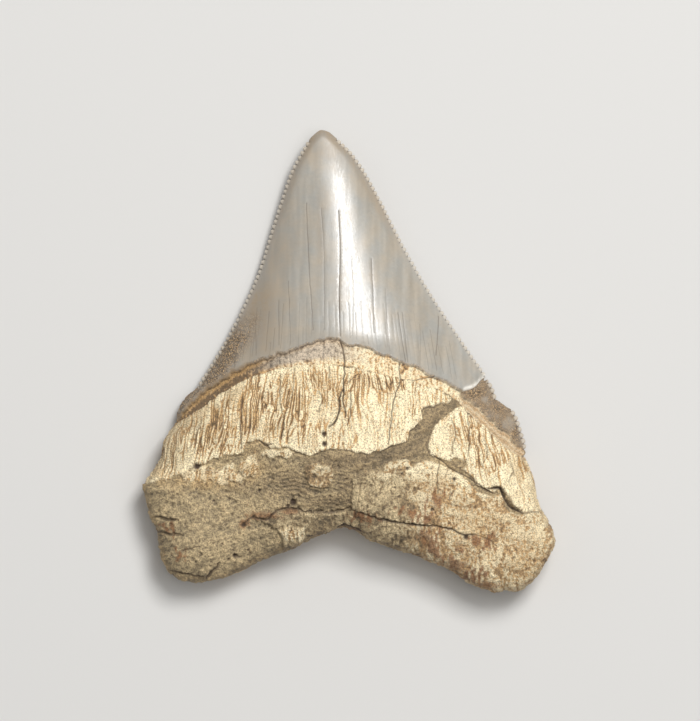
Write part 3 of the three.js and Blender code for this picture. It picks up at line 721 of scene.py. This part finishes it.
def root_marks(x, y, zone, even):
    """Tone, stains and relief of the root."""
    river, _ = line_distance(np.c_[x, y], curve_through(RIVER, 0.4), 6.0)
    scars = patch(x, y, MATRIX_PATCHES)
    bare = zone.root * (1.0 - zone.plate)
    matrix = np.clip(np.maximum(np.exp(-((river / 2.0) ** 2)), scars) + 0.2 * even.mottle, 0.0, 1.0) * bare
    bed = y + 0.22 * x + 0.6 * noise(x / 2.2, y / 1.2, seed=SEED + 43)
    layers = np.sin(2 * np.pi * bed / 0.5) * scars * bare

    fibre, furrow = fibres(x, y)
    warm = patch(x, y, [(-14.0, -6.0, 8.0, 5.0), (4.0, -2.6, 9.0, 1.4), (15.5, -9.5, 2.0, 4.0)])
    pale = patch(x, y, [(3.0, -7.5, 6.0, 3.2), (12.0, -9.5, 1.6, 2.2), (19.5, -15.5, 2.0, 1.8)])
    upper_tone = blend(fibre, 0.85, 0.3 * pale) - warm * (0.1 + 0.3 * furrow) + 0.14 * zone.edge_pale
    dashes = furrows(x + 0.2 * even.mottle, y, 0.5, 0.9, 0.35, SEED + 46)
    fibrous = smooth(x, 5.0, 11.0)
    dash_depth = 0.6 * dashes * np.clip(0.4 + even.mottle, 0.0, 1.0)
    low_tone = 0.54 + 0.6 * even.mottle + 0.55 * even.grain - dash_depth
    low_tone = low_tone + 0.3 * patch(x, y, [PALE_PATCH])
    bare_tone = 0.56 + 0.18 * even.mottle + 0.45 * even.grain + 0.16 * even.lines + 0.26 * layers
    tone = blend(bare_tone, upper_tone, zone.upper)
    low_tone = blend(low_tone, 0.75 * low_tone + 0.24 * fibre, fibrous) + 0.3 * zone.lower_pale
    low_plates = np.maximum(zone.lower, zone.island)
    tone = blend(tone, low_tone, low_plates)

    tongues = rough_noise(x / 0.7, y / 2.2, seed=SEED + 52, layers=3)
    flakes = smooth(patch(x, y, FLAKE_PATCHES) + 0.6 * tongues, 0.45, 0.6) * zone.root * (1.0 - zone.upper)
    tone = blend(tone, fibre + 0.3 * even.grain, flakes)
    spots = 0.6 * noise(x / 0.3, y / 0.75, seed=SEED + 49) + 0.4 * even.mottle + 0.4 * even.grain
    rust = smooth(patch(x, y, RUST_PATCHES) + 1.1 * spots, 0.8, 1.15)
    smears = patch(x, y, RUST_SMEARS) + 0.25 * even.mottle + 0.6 * even.grain
    rust = np.maximum(rust, 0.85 * smooth(smears, 0.4, 0.85))
    rust = rust * zone.root * (1.0 - zone.upper)
    gold = patch(x, y, GOLD_ROOT_PATCHES) * smooth(even.mottle + 0.4 * even.grain, -0.3, 0.4) * zone.root
    low_cream = np.minimum(0.12 + 0.6 * fibrous + 0.8 * zone.lower_pale, 1.0)
    creamy = zone.upper + 0.5 * zone.island + zone.lower * low_cream
    creamy = np.maximum(creamy, 0.85 * flakes) * (1.0 - zone.pocket) * (1.0 - 0.5 * patch(x, y, [GREY_END]))
    matrix = np.maximum(matrix, 0.6 * zone.pocket)
    rough = 0.2 * flakes + (0.16 * even.mottle + 0.15 * even.grain + 0.05 * even.lines + 0.05 * layers) * bare
    rough = rough + (0.13 * even.mottle + 0.15 * even.grain - 0.1 * dashes) * low_plates
    return tone, matrix, rust, gold, creamy, rough, furrow


def band_marks(x, y, zone, even):
    """Tone, warmth and gold of the bourlette, the band between enamel and root."""
    share = np.clip((y - zone.neck_y) / np.maximum(zone.enamel_y - zone.neck_y, 0.3), 0.0, 1.0)
    ribs = furrows(x + 0.1 * even.mottle, y, 0.42, 4.0, 0.4, SEED + 47)
    net = furrows(x + 0.3 * even.mottle, y, 0.7, 0.7, 0.22, SEED + 48)
    border = 1.0 - smooth(share + 0.1 * even.grain, 0.1, 0.35)
    far_right = smooth(x, 13.5, 14.5)
    tone = 0.84 + 0.14 * even.streak + 0.12 * even.grain
    tone = tone + (0.28 * even.grain - 0.25 * ribs - 0.65 * net) * (1.0 - far_right)
    tone = tone - 0.4 * smooth(-x, 5.0, 11.0)
    tone = tone - far_right * (0.3 + 0.14 * np.sin(18.0 * share + 2.0 * even.mottle))
    far_left = smooth(-x, 9.0, 14.0)
    warmth = np.clip(smooth(x, -3.0, 4.0) + 0.8 * border + far_left, 0.0, 1.0) * (1.0 - 0.35 * far_right)
    gold = smooth(share, 0.6, 0.8) * far_left + 0.3 * smooth(share, 0.75, 0.9) * (1.0 - smooth(x, -2.0, 2.0))
    gold = np.minimum(gold, 1.0)
    tone = tone - far_left * (0.55 - 0.5 * even.grain) * np.exp(-(((share - 0.35) / 0.3) ** 2))
    return tone, warmth, gold


def crown_stains(x, y, inset, zone, even):
    """Stains of the enamel: tan at its edges, rough brown at the lower left and on the fragment."""
    low_left = smooth(4.2 - (x - left_x(y)), 0.0, 2.6) * smooth(7.0 - y, 0.0, 5.0)
    clean_spots = patch(x, y, FRAGMENT_GREY_PATCHES)
    stained = zone.fragment * (1.0 - 0.5 * smooth(clean_spots + 0.3 * even.mottle, 0.3, 0.7))
    grime_and_glints = np.maximum.reduce([low_left, patch(x, y, GRIME_PATCHES) * stained, 0.5 * stained])
    grime_and_glints = np.clip(grime_and_glints * (0.9 + 0.7 * even.grain + 0.3 * even.mottle), 0.0, 1.0)
    worn_edge = 0.7 * np.exp(-(((y - zone.enamel_y - 0.06) / 0.09) ** 2)) * (0.8 + 0.4 * even.grain)
    grime_and_glints = np.maximum(grime_and_glints, np.clip(worn_edge, 0.0, 1.0))
    worn = np.maximum.reduce([grime_and_glints, 0.7 * zone.fragment, 0.35 * smooth(y, 22.0, 26.0)])
    tan = smooth(1.7 - inset, 0.0, 1.5) * (0.3 + 0.35 * smooth(y, 10.0, 20.0)) * smooth(8.0 - x, 0.0, 4.0)
    for *spot, strength in GOLD_CROWN_PATCHES:
        tan = np.maximum(tan, strength * patch(x, y, [spot]))
    stripe = np.exp(-(((y - zone.enamel_y - 0.2) / 0.3) ** 2)) * smooth(-x, 11.5, 14.0)
    tan = np.maximum.reduce([tan, stripe, stained])
    grime_and_glints = grime_and_glints * (1.0 - 0.8 * smooth(stripe, 0.5, 0.9))
    return np.clip(tan * (0.9 + 0.4 * even.grain + 0.5 * even.streak), 0.0, 1.0), grime_and_glints, worn


def lingual_marks(xy, inset, lines, shape):
    """What is on the lingual face at each point: the carved relief, and the marks that the material reads."""
    x, y = xy.T
    zone, even = lingual_zones(xy, lines), grains(*xy.T)
    tone, matrix, rust, gold, creamy, rough, furrow = root_marks(x, y, zone, even)
    band_tone, warmth, band_gold = band_marks(x, y, zone, even)
    tan, grime_and_glints, worn = crown_stains(x, y, inset, zone, even)
    tone = blend(tone, band_tone, zone.band)
    tone = blend(tone, 0.5 + 0.45 * even.streak + 0.2 * even.grain, zone.enamel)
    gold = np.maximum.reduce([gold, band_gold * zone.band, tan * zone.enamel])

    cracks, crack_depth = crack_marks(xy, lines.root_cracks)
    hairs, hair_depth = crack_marks(xy, lines.crown_cracks)
    pits, pit_depth = pit_marks(xy, ROOT_PITS)
    speck, speck_depth = pit_marks(xy, specks())
    open_root = zone.root * (1.0 - zone.upper)
    # A thin dark line on the band at the foot of the enamel's step: partly a crack line, partly painted shade
    # under the step.
    rim_line = np.exp(-(((y - zone.enamel_y + 0.07) / 0.075) ** 2)) * (1.1 + 0.6 * even.grain)
    speck = (0.55 - 0.2 * smooth(x, 0.0, 4.0)) * speck * open_root
    # Dark marks: cracks, hairlines, pits and specks, plus the painted shade of the plates' banks and of the
    # enamel's foot.
    dark = np.maximum.reduce([cracks, hairs * zone.enamel, pits, speck, zone.bank, 0.7 * rim_line])

    relief = shape.enamel_step / MM * zone.enamel + shape.plate_step / MM * zone.plate - 0.4 * zone.fragment
    hollows = [crack_depth, hair_depth * zone.enamel, pit_depth, speck_depth * open_root]
    relief = relief - np.maximum.reduce(hollows)
    relief = relief * smooth(inset, 0.0, 1.0) - shape.fibre_relief / MM * furrow * zone.upper + rough
    relief = relief + (0.08 * even.grain + 0.07 * (band_tone - 0.5)) * zone.band
    relief = relief + (0.01 * even.streak + 0.08 * even.grain * grime_and_glints) * zone.enamel
    marks = {
        "enamel": zone.enamel, "band": zone.band, "plate": creamy, "matrix": matrix,
        "rust": rust, "gold": gold,
        "tone": np.clip(tone, 0.0, 1.0), "crack_and_shade": np.clip(dark, 0.0, 1.0), "pale": zone.chip_rim,
        "grime_and_glints": grime_and_glints * zone.enamel * (1.0 - zone.chip_rim), "worn": worn * zone.enamel, "warmth": warmth,
    }
    return relief, marks


def labial_marks(xy, inset, shape):
    """The same for the labial face, which is plainer: enamel over a worn, patchy root."""
    x, y = xy.T
    line = jagged(LABIAL_ENAMEL_LINE, 0.2, 0.16, SEED + 60)
    enamel_y = np.interp(x, line[:, 0], line[:, 1])
    enamel = smooth(y - enamel_y, -0.12, 0.12)
    root = 1.0 - enamel
    mottle = rough_noise(x / 1.3, y / 1.3, seed=SEED + 61, layers=4)
    grain = rough_noise(x / 0.4, y / 0.4, seed=SEED + 62, layers=2)
    blotch = rough_noise(x / 5.0, y / 5.0, seed=SEED + 63, layers=2)
    streak = rough_noise(x / 0.5, y / 5.0, seed=SEED + 64, layers=2)
    plate = smooth(blotch + 0.25 * mottle, -0.05, 0.05) * root
    fibre, furrow = fibres(x + 40.0, y)
    tone = blend(0.5 + 0.35 * mottle + 0.4 * grain, fibre - 0.1, plate)
    tone = blend(tone, 0.5 + 0.5 * streak, enamel)
    groove = np.exp(-(((y - enamel_y + 0.25) / 0.3) ** 2))
    edge = np.exp(-((np.maximum(0.0, 3.0 - inset) / 1.5 - 2.0) ** 2)) * enamel
    marks = {
        "enamel": enamel, "band": np.zeros_like(x), "plate": plate,
        "matrix": 0.4 * root * smooth(mottle, 0.0, 0.5),
        "rust": 0.6 * root * smooth(mottle + 0.4 * grain, 0.25, 0.7),
        "gold": np.clip(0.5 * edge + 0.2 * streak, 0.0, 1.0),
        "tone": np.clip(tone, 0.0, 1.0), "crack_and_shade": 0.7 * groove, "pale": np.zeros_like(x),
        "grime_and_glints": np.zeros_like(x), "worn": 0.3 * enamel, "warmth": np.zeros_like(x),
    }
    carved = 0.3 * groove + 0.12 * (1.0 - plate) * root + 0.10 * root * (0.5 + 0.5 * mottle)
    carved = carved + shape.fibre_relief / MM * 0.5 * plate * furrow
    return -carved * smooth(inset, 0.0, 1.0), marks


LINGUAL_INSETS = [0.03, 0.08, 0.15, 0.24, 0.36]
LABIAL_INSETS = [0.03, 0.09, 0.18, 0.32]
ROOT_STEP, CROWN_STEP = 0.16, 0.24
LABIAL_ROOT_STEP, LABIAL_CROWN_STEP = 0.28, 0.5
FIBRE_STEP, FIBRE_ROW_STEP = 0.10, 0.20


def lattice(step, rng, row_step=None):
    """A slightly shaken triangular lattice over the whole plan."""
    rows = np.arange(-29.0, 29.0, row_step or step * math.sqrt(3) / 2)
    x = np.arange(-26.0, 26.0, step)
    shifted = np.stack([
        np.c_[x + (step / 2 if i % 2 else 0.0), np.full(len(x), y)] for i, y in enumerate(rows)])
    return shifted.reshape(-1, 2) + rng.uniform(-0.15 * step, 0.15 * step, (shifted.shape[0] * len(x), 2))


def fill_plan(ring, rows, lattices):
    """Triangles inside a ring, through the rows of points and a lattice. The ring's points come first."""
    def well_inside(places, gap):
        places = places[inside_loop(places, ring)]
        away, _ = line_distance(places, np.vstack([ring, ring[:1]]), 1.0)
        return places[away > gap]

    features = [well_inside(row, 0.08) for row in rows]
    fixed = np.vstack([ring, *features])
    tree = KDTree(len(fixed))
    for i, (px, py) in enumerate(fixed):
        tree.insert((px, py, 0.0), i)
    tree.balance()
    chosen = [fixed]
    for places, step in lattices:
        places = well_inside(places, 0.6 * step)
        clear = [tree.find((px, py, 0.0))[2] > 0.6 * step for px, py in places]
        chosen.append(places[np.array(clear)])
    points = [Vector(p) for p in np.vstack(chosen)]
    border = [(i, (i + 1) % len(ring)) for i in range(len(ring))]
    places, _, faces, origins, _, _ = delaunay_2d_cdt(points, border, [], 1, 1e-5)

    first = {o: i for i, olds in enumerate(origins) for o in olds if o < len(ring)}
    if len(first) < len(ring):
        raise RuntimeError("the rim's points ran together in the plan")
    order = np.full(len(places), -1)
    for ring_index in range(len(ring)):
        order[first[ring_index]] = ring_index
    order[order < 0] = len(ring) + np.arange((order < 0).sum())
    xy = np.empty((len(places), 2))
    xy[order] = np.array(places)
    triangles = order[np.array(faces)]
    a, b, c = (xy[triangles[:, k]] for k in range(3))
    turn = (b[:, 0] - a[:, 0]) * (c[:, 1] - a[:, 1]) - (b[:, 1] - a[:, 1]) * (c[:, 0] - a[:, 0])
    triangles[turn < 0] = triangles[turn < 0][:, ::-1]
    return xy, triangles


def band_faces(lower, upper, count):
    """Four-sided faces between two rings of the same count, facing outwards."""
    i = np.arange(count)
    j = (i + 1) % count
    return np.c_[lower + i, lower + j, upper + j, upper + i]


def point_normals(points, faces):
    normals = np.zeros_like(points)
    for face in faces:
        corners = points[face]
        turned = np.cross(corners[:, 1] - corners[:, 0], corners[:, 2] - corners[:, 0])
        for k in range(face.shape[1]):
            np.add.at(normals, face[:, k], turned)
    return normals / np.maximum(np.linalg.norm(normals, axis=1), 1e-12)[:, None]


def build_tooth_mesh(shape):
    """The whole tooth as points (mm), faces and marks."""
    rng = np.random.default_rng(SEED)
    outline = Outline(shape.serration_depth / MM)
    lines = Lines()
    count = len(outline.base)

    top_ring = outline.ring(LINGUAL_INSETS[-1])
    fine, coarse = lattice(ROOT_STEP, rng), lattice(CROWN_STEP, rng)
    fine = fine[fine[:, 1] < neck_y(fine[:, 0]) + 3.4]
    coarse = coarse[coarse[:, 1] >= neck_y(coarse[:, 0]) + 3.4 + CROWN_STEP / 2]
    narrow = lattice(FIBRE_STEP, rng, FIBRE_ROW_STEP)
    on_plate, fine_on_plate = (
        (inside_loop(p, lines.plates[0]) | inside_loop(p, lines.plates[1])) & (p[:, 1] < neck_y(p[:, 0]))
        for p in (narrow, fine))
    lattices = [(narrow[on_plate], FIBRE_STEP), (fine[~fine_on_plate], ROOT_STEP), (coarse, CROWN_STEP)]
    top_xy, top_faces = fill_plan(top_ring, list(lines.rows()), lattices)
    low_ring = outline.ring(LABIAL_INSETS[-1])
    plain, flaked = lattice(LABIAL_CROWN_STEP, rng), lattice(LABIAL_ROOT_STEP, rng)
    plain = plain[plain[:, 1] >= neck_y(plain[:, 0]) + LABIAL_CROWN_STEP]
    flaked = flaked[flaked[:, 1] < neck_y(flaked[:, 0]) + LABIAL_CROWN_STEP / 2]
    low_lattices = [(flaked, LABIAL_ROOT_STEP), (plain, LABIAL_CROWN_STEP)]
    low_xy, low_faces = fill_plan(low_ring, [], low_lattices)

    def with_rings(insets, inner):
        rings = [outline.ring(inset) for inset in insets[:-1]]
        away, _ = line_distance(inner[count:], outline.loop, FAR)
        xy = np.vstack(rings + [inner])
        inset = np.concatenate([np.full(count, i) for i in insets] + [away])
        return xy, inset

    top, top_inset = with_rings(LINGUAL_INSETS, top_xy)
    low, low_inset = with_rings(LABIAL_INSETS, low_xy)
    rim = outline.ring(0.0)
    bead_rise = np.where(outline.serrated, outline.bead, 0.0)
    top_z = lingual_height(*top.T, top_inset, shape)
    for k, inset in enumerate(LINGUAL_INSETS):
        top_z[k * count:(k + 1) * count] += 0.7 * bead_rise * math.exp(-((inset - 0.15) / 0.13) ** 2)
    points = np.vstack([
        np.c_[rim, rim_height(*rim.T)], np.c_[top, top_z], np.c_[low, labial_height(*low.T, low_inset)]])

    low_start = count + len(top)
    top_starts = [0] + [count * (k + 1) for k in range(len(LINGUAL_INSETS))]
    low_starts = [0] + [low_start + count * k for k in range(len(LABIAL_INSETS))]
    quads = [band_faces(a, b, count) for a, b in zip(top_starts, top_starts[1:])]
    quads += [band_faces(b, a, count) for a, b in zip(low_starts, low_starts[1:])]
    quads = np.vstack(quads)
    triangles = np.vstack([top_faces + top_starts[-1], low_faces[:, ::-1] + low_starts[-1]])

    top_relief, top_marks = lingual_marks(top, top_inset, lines, shape)
    low_relief, low_marks = labial_marks(low, low_inset, shape)
    rim_relief, rim_marks = lingual_marks(rim, np.zeros(count), lines, shape)
    relief = np.concatenate([rim_relief, top_relief, low_relief])
    marks = {name: np.concatenate([rim_marks[name], top_marks[name], low_marks[name]]) for name in top_marks}

    normals = point_normals(points, [quads, triangles])
    steep = 1.0 - np.abs(normals[:, 2])
    x, y, z = points.T
    side = rough_noise(x / 1.4, y / 1.4, z / 1.4, seed=SEED + 70, layers=4)
    on_root = 1.0 - np.maximum(marks["enamel"], marks["band"])
    relief = relief + 0.3 * side * steep * on_root
    points = points + normals * relief[:, None]
    points[:, 2] = np.maximum(points[:, 2], 0.0)
    marks["side"] = np.clip(0.5 + 0.7 * side, 0.0, 1.0) * smooth(steep, 0.25, 0.7) * on_root
    # Painted highlight: the tops of the beads are lightened, fading out a little way in from the rim.
    bead_highlight = np.zeros(len(points))
    size = np.where(outline.serrated, 0.5 + outline.bead / (shape.serration_depth / MM), 0.0)
    bead_highlight[:count] = size
    for k, inset in enumerate(LINGUAL_INSETS):
        bead_highlight[count * (k + 1):count * (k + 2)] = size * smooth(0.4 - inset, 0.0, 0.2)
    marks["bead"] = np.clip(bead_highlight, 0.0, 1.0)
    # Painted shade in the notches between the beads, fading out a little way in from the rim.
    notch_shade = np.zeros(len(points))
    gap = np.where(outline.serrated, smooth(0.35 - size, 0.0, 0.3), 0.0)
    notch_shade[:count] = gap
    for k, inset in enumerate(LINGUAL_INSETS):
        notch_shade[count * (k + 1):count * (k + 2)] = gap * smooth(0.42 - inset, 0.0, 0.25)
    marks["crack_and_shade"] = np.maximum(marks["crack_and_shade"], 0.85 * notch_shade)
    return points, quads, triangles, marks


class Graph:
    """Adds nodes to a material and links them."""

    def __init__(self, material):
        self.tree = material.node_tree
        self.tree.nodes.clear()

    def add(self, kind, inputs=None, **settings):
        node = self.tree.nodes.new(kind)
        for name, value in settings.items():
            setattr(node, name, value)
        for name, value in (inputs or {}).items():
            self.put(node.inputs[name], value)
        return node

    def put(self, socket, value):
        if isinstance(value, bpy.types.NodeSocket):
            self.tree.links.new(value, socket)
        elif socket.type == "RGBA" and len(value) == 3:
            socket.default_value = (*value, 1.0)
        else:
            socket.default_value = value

    def mark(self, name):
        return self.add("ShaderNodeAttribute", attribute_name=name).outputs["Fac"]

    def mix(self, share, a, b, blend_type="MIX"):
        node = self.add("ShaderNodeMix", data_type="RGBA", blend_type=blend_type)
        for socket, value in zip((node.inputs[0], node.inputs[6], node.inputs[7]), (share, a, b)):
            self.put(socket, value)
        return node.outputs[2]

    def number(self, operation, a, b):
        node = self.add("ShaderNodeMath", operation=operation)
        self.put(node.inputs[0], a)
        self.put(node.inputs[1], b)
        return node.outputs[0]

    def spread(self, value, low, high, to_low=0.0, to_high=1.0):
        node = self.add("ShaderNodeMapRange", {"Value": value, "From Min": low, "From Max": high,
                                               "To Min": to_low, "To Max": to_high})
        return node.outputs["Result"]

    def noise(self, coordinates, size, detail=3.0, roughness=0.6):
        """Noise with lumps of about this size, in millimetres."""
        node = self.add("ShaderNodeTexNoise", {"Vector": coordinates, "Scale": 1.0 / (size * MM),
                                               "Detail": detail, "Roughness": roughness})
        return node.outputs["Fac"]

    def ramp(self, share, stops):
        node = self.add("ShaderNodeValToRGB", {"Fac": share})
        elements = node.color_ramp.elements
        while len(elements) < len(stops):
            elements.new(0.5)
        for element, (place, colour) in zip(elements, stops):
            element.position = place
            element.color = (*colour, 1.0)
        return node.outputs["Color"]


def tint(colour, factor):
    return tuple(min(1.0, c * factor) for c in colour)


def fossil_material(finish):
    """One finish for the whole tooth: the marks on its points say what shows where."""
    material = bpy.data.materials.new("fossil_tooth")
    material.use_nodes = True
    g = Graph(material)
    place = g.add("ShaderNodeTexCoord").outputs["Object"]
    stretched = g.add("ShaderNodeMapping", {"Vector": place, "Scale": (1.0, 0.12, 1.0)}).outputs["Vector"]
    speckle = g.noise(place, 0.17, 2.0, 0.6)
    clouds = g.noise(place, 2.4, 4.0, 0.55)
    threads = g.noise(stretched, 0.16, 2.0, 0.6)
    tone = g.mark("tone")
    grit = g.ramp(speckle, [
        (0.32, (0.30, 0.25, 0.19)), (0.48, (0.98, 0.97, 0.95)), (0.68, (1.5, 1.48, 1.44))])

    lobe = g.ramp(tone, [
        (0.1, tint(finish.lobe, 0.4)), (0.45, tint(finish.lobe, 0.95)), (0.9, tint(finish.lobe, 1.75))])
    matrix = g.ramp(tone, [
        (0.1, tint(finish.matrix, 0.45)), (0.5, finish.matrix), (0.95, tint(finish.matrix, 1.9))])
    plate = g.ramp(tone, [
        (0.0, tint(finish.tan, 0.16)), (0.2, tint(finish.tan, 0.46)), (0.4, tint(finish.tan, 0.95)),
        (0.6, tint(finish.cream, 0.86)), (0.9, tint(finish.cream, 1.04))])
    root = g.mix(g.mark("matrix"), lobe, matrix)
    root = g.mix(g.mark("plate"), root, plate)
    root = g.mix(g.number("MULTIPLY", g.mark("gold"), 0.5), root, finish.gold)
    root = g.mix(g.number("MULTIPLY", g.mark("rust"), 0.85), root, finish.rust)
    side = g.ramp(g.mark("side"), [(0.0, (1.0, 1.0, 1.0)), (0.5, (0.86, 0.8, 0.72)), (1.0, (1.0, 1.0, 1.0))])
    root = g.mix(1.0, root, side, "MULTIPLY")
    root = g.mix(0.9, root, grit, "MULTIPLY")

    silver = g.ramp(tone, [
        (0.1, tint(finish.band_grey, 0.45)), (0.5, finish.band_grey), (0.9, tint(finish.band_grey, 1.6))])
    peach = g.ramp(tone, [
        (0.1, tint(finish.tan, 0.3)), (0.42, tint(finish.tan, 1.0)), (0.85, tint(finish.cream, 0.96))])
    band = g.mix(g.mark("warmth"), silver, peach)
    band = g.mix(g.number("MULTIPLY", g.mark("gold"), 0.85), band, finish.gold)
    band = g.mix(0.7, band, grit, "MULTIPLY")

    enamel = g.ramp(tone, [
        (0.1, tint(finish.enamel, 0.84)), (0.5, finish.enamel), (0.95, tint(finish.enamel, 1.2))])
    cool = g.ramp(clouds, [(0.35, (0.93, 0.97, 1.03)), (0.65, (1.05, 1.0, 0.95))])
    enamel = g.mix(1.0, enamel, cool, "MULTIPLY")
    enamel = g.mix(g.number("MULTIPLY", g.mark("gold"), 0.85), enamel, tint(finish.enamel_tan, 1.05))
    # Brown stain of the enamel, dark to tan, with painted glints at its brightest specks.
    grime_and_glints = g.ramp(speckle, [
        (0.36, tint(finish.enamel_tan, 0.12)), (0.5, tint(finish.enamel_tan, 0.45)),
        (0.66, tint(finish.enamel_tan, 2.8))])
    enamel = g.mix(g.number("MULTIPLY", g.mark("grime_and_glints"), 0.9), enamel, grime_and_glints)
    # Painted highlight on the tops of the serration beads.
    enamel = g.mix(g.number("MULTIPLY", g.mark("bead"), 0.75), enamel, (0.72, 0.65, 0.54))
    enamel = g.mix(g.mark("pale"), enamel, (0.95, 0.91, 0.82))

    colour = g.mix(g.mark("band"), root, band)
    colour = g.mix(g.mark("enamel"), colour, enamel)
    # Dark brown of the cracks and pits. It is also painted shade along the plates' banks, in the serrations'
    # notches and at the enamel's foot.
    colour = g.mix(g.mark("crack_and_shade"), colour, finish.crack_and_shade)

    dull = g.spread(speckle, 0.3, 0.7, finish.root_roughness - 0.08, finish.root_roughness + 0.1)
    gloss = g.spread(threads, 0.3, 0.7, finish.enamel_roughness - 0.05, finish.enamel_roughness + 0.07)
    gloss = g.number("ADD", gloss, g.number("MULTIPLY", g.mark("worn"), 0.5))
    clean = g.number("SUBTRACT", g.mark("enamel"), g.mark("crack_and_shade"))
    shine = g.add("ShaderNodeMix", data_type="FLOAT")
    g.put(shine.inputs[0], clean)
    g.put(shine.inputs[2], dull)
    g.put(shine.inputs[3], gloss)

    bare = g.number("SUBTRACT", 1.0, g.mark("enamel"))
    rough = g.number("MAXIMUM", bare, g.mark("grime_and_glints"))
    height = g.number("ADD", g.number("MULTIPLY", speckle, rough), g.number("MULTIPLY", threads, 0.05))
    bump = g.add("ShaderNodeBump", {"Height": height, "Strength": 0.7, "Distance": 0.14 * MM})
    shader = g.add("ShaderNodeBsdfPrincipled", {
        "Base Color": colour, "Roughness": shine.outputs[0], "Normal": bump.outputs["Normal"], "IOR": 1.55,
        "Specular IOR Level": 0.9})
    g.add("ShaderNodeOutputMaterial", {"Surface": shader.outputs["BSDF"]})
    return material


def floor_material(colour):
    material = bpy.data.materials.new("pale_floor")
    material.use_nodes = True
    shader = material.node_tree.nodes["Principled BSDF"]
    shader.inputs["Base Color"].default_value = (*colour, 1.0)
    shader.inputs["Roughness"].default_value = 0.9
    return material


class FossilStageAdd(bpy.types.Operator):
    """Makes the camera that looks down on the tooth, a plain pale floor and soft studio lights"""

    bl_idname = "scene.fossil_stage_add"
    bl_label = "Add Stage"

    def execute(self, context):
        stage = context.scene.fossil_stage
        self.add_camera(context.scene, stage)
        self.add_floor(context.scene, stage)
        self.add_light(context.scene, "key_light", (0.19, 0.31, 0.66), (0.24, 0.26), stage.key_power)
        self.add_light(context.scene, "panel_light", (0.22, 0.12, 1.0), (0.8, 0.7), stage.panel_power)
        self.add_light(context.scene, "fill_light", (-0.55, 0.10, 0.50), (0.6, 0.6), stage.fill_power)
        self.set_room_light(context.scene, stage)
        return {"FINISHED"}

    def add_camera(self, scene, stage):
        data = bpy.data.cameras.new("camera")
        data.lens = data.sensor_width * stage.camera_height / (FRAME_HEIGHT * MM)
        data.clip_end = 10.0
        camera = bpy.data.objects.new("camera", data)
        camera.location = (0.03 * MM, 0.1 * MM, stage.camera_height + 3.0 * MM)
        scene.collection.objects.link(camera)
        scene.camera = camera

    def add_floor(self, scene, stage):
        half = 1.5
        mesh = bpy.data.meshes.new("floor")
        corners = [(-half, -half, 0), (half, -half, 0), (half, half, 0), (-half, half, 0)]
        mesh.from_pydata(corners, [], [(0, 1, 2, 3)])
        mesh.materials.append(floor_material(stage.floor))
        floor = bpy.data.objects.new("floor", mesh)
        floor.location.z = -0.02 * MM
        scene.collection.objects.link(floor)

    def add_light(self, scene, name, location, size, power):
        data = bpy.data.lights.new(name, "AREA")
        data.shape = "RECTANGLE"
        data.size, data.size_y = size
        data.energy = power
        light = bpy.data.objects.new(name, data)
        light.location = location
        light.rotation_euler = (-Vector(location)).to_track_quat("-Z", "Y").to_euler()
        scene.collection.objects.link(light)

    def set_room_light(self, scene, stage):
        world = bpy.data.worlds.new("room")
        world.use_nodes = True
        background = world.node_tree.nodes["Background"]
        background.inputs["Color"].default_value = (1.0, 0.99, 0.97, 1.0)
        background.inputs["Strength"].default_value = stage.sky
        scene.world = world
        scene.view_settings.view_transform = "Standard"


class FossilToothAdd(bpy.types.Operator):
    """Makes the tooth: the carved mesh, its marks and its finish"""

    bl_idname = "mesh.fossil_tooth_add"
    bl_label = "Add Tooth"

    def execute(self, context):
        scene = context.scene
        points, quads, triangles, marks = build_tooth_mesh(scene.fossil_shape)
        mesh = bpy.data.meshes.new("fossil_tooth")
        mesh.from_pydata((points * MM).tolist(), [], quads.tolist() + triangles.tolist())
        for name, values in marks.items():
            layer = mesh.attributes.new(name, "FLOAT", "POINT")
            layer.data.foreach_set("value", values.astype(np.float32))
        mesh.shade_smooth()
        mesh.materials.append(fossil_material(scene.fossil_finish))
        tooth = bpy.data.objects.new("fossil_tooth", mesh)
        scene.collection.objects.link(tooth)
        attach(tooth, "root")
        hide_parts(NODE)
        return {"FINISHED"}


class FossilPanel(bpy.types.Panel):
    """Lists what the tooth is made with"""

    bl_idname = "VIEW3D_PT_fossil_tooth"
    bl_label = "Fossil Tooth"
    bl_space_type = "VIEW_3D"
    bl_region_type = "UI"
    bl_category = "Fossil"

    def draw(self, context):
        layout = self.layout
        for group, operator in (
            (context.scene.fossil_stage, FossilStageAdd),
            (context.scene.fossil_shape, FossilToothAdd),
            (context.scene.fossil_finish, None),
        ):
            box = layout.box()
            for name in group.__annotations__:
                box.prop(group, name)
            if operator:
                box.operator(operator.bl_idname)


CLASSES = (ToothShape, ToothFinish, ToothStage, FossilStageAdd, FossilToothAdd, FossilPanel)
GROUPS = {"fossil_shape": ToothShape, "fossil_finish": ToothFinish, "fossil_stage": ToothStage}


def register():
    for cls in CLASSES:
        bpy.utils.register_class(cls)
    for name, group in GROUPS.items():
        setattr(bpy.types.Scene, name, PointerProperty(type=group))


def unregister():
    for name in GROUPS:
        delattr(bpy.types.Scene, name)
    for cls in reversed(CLASSES):
        bpy.utils.unregister_class(cls)


def main():
    register()
    bpy.ops.scene.fossil_stage_add()
    bpy.ops.mesh.fossil_tooth_add()


if __name__ == "__main__":
    main()
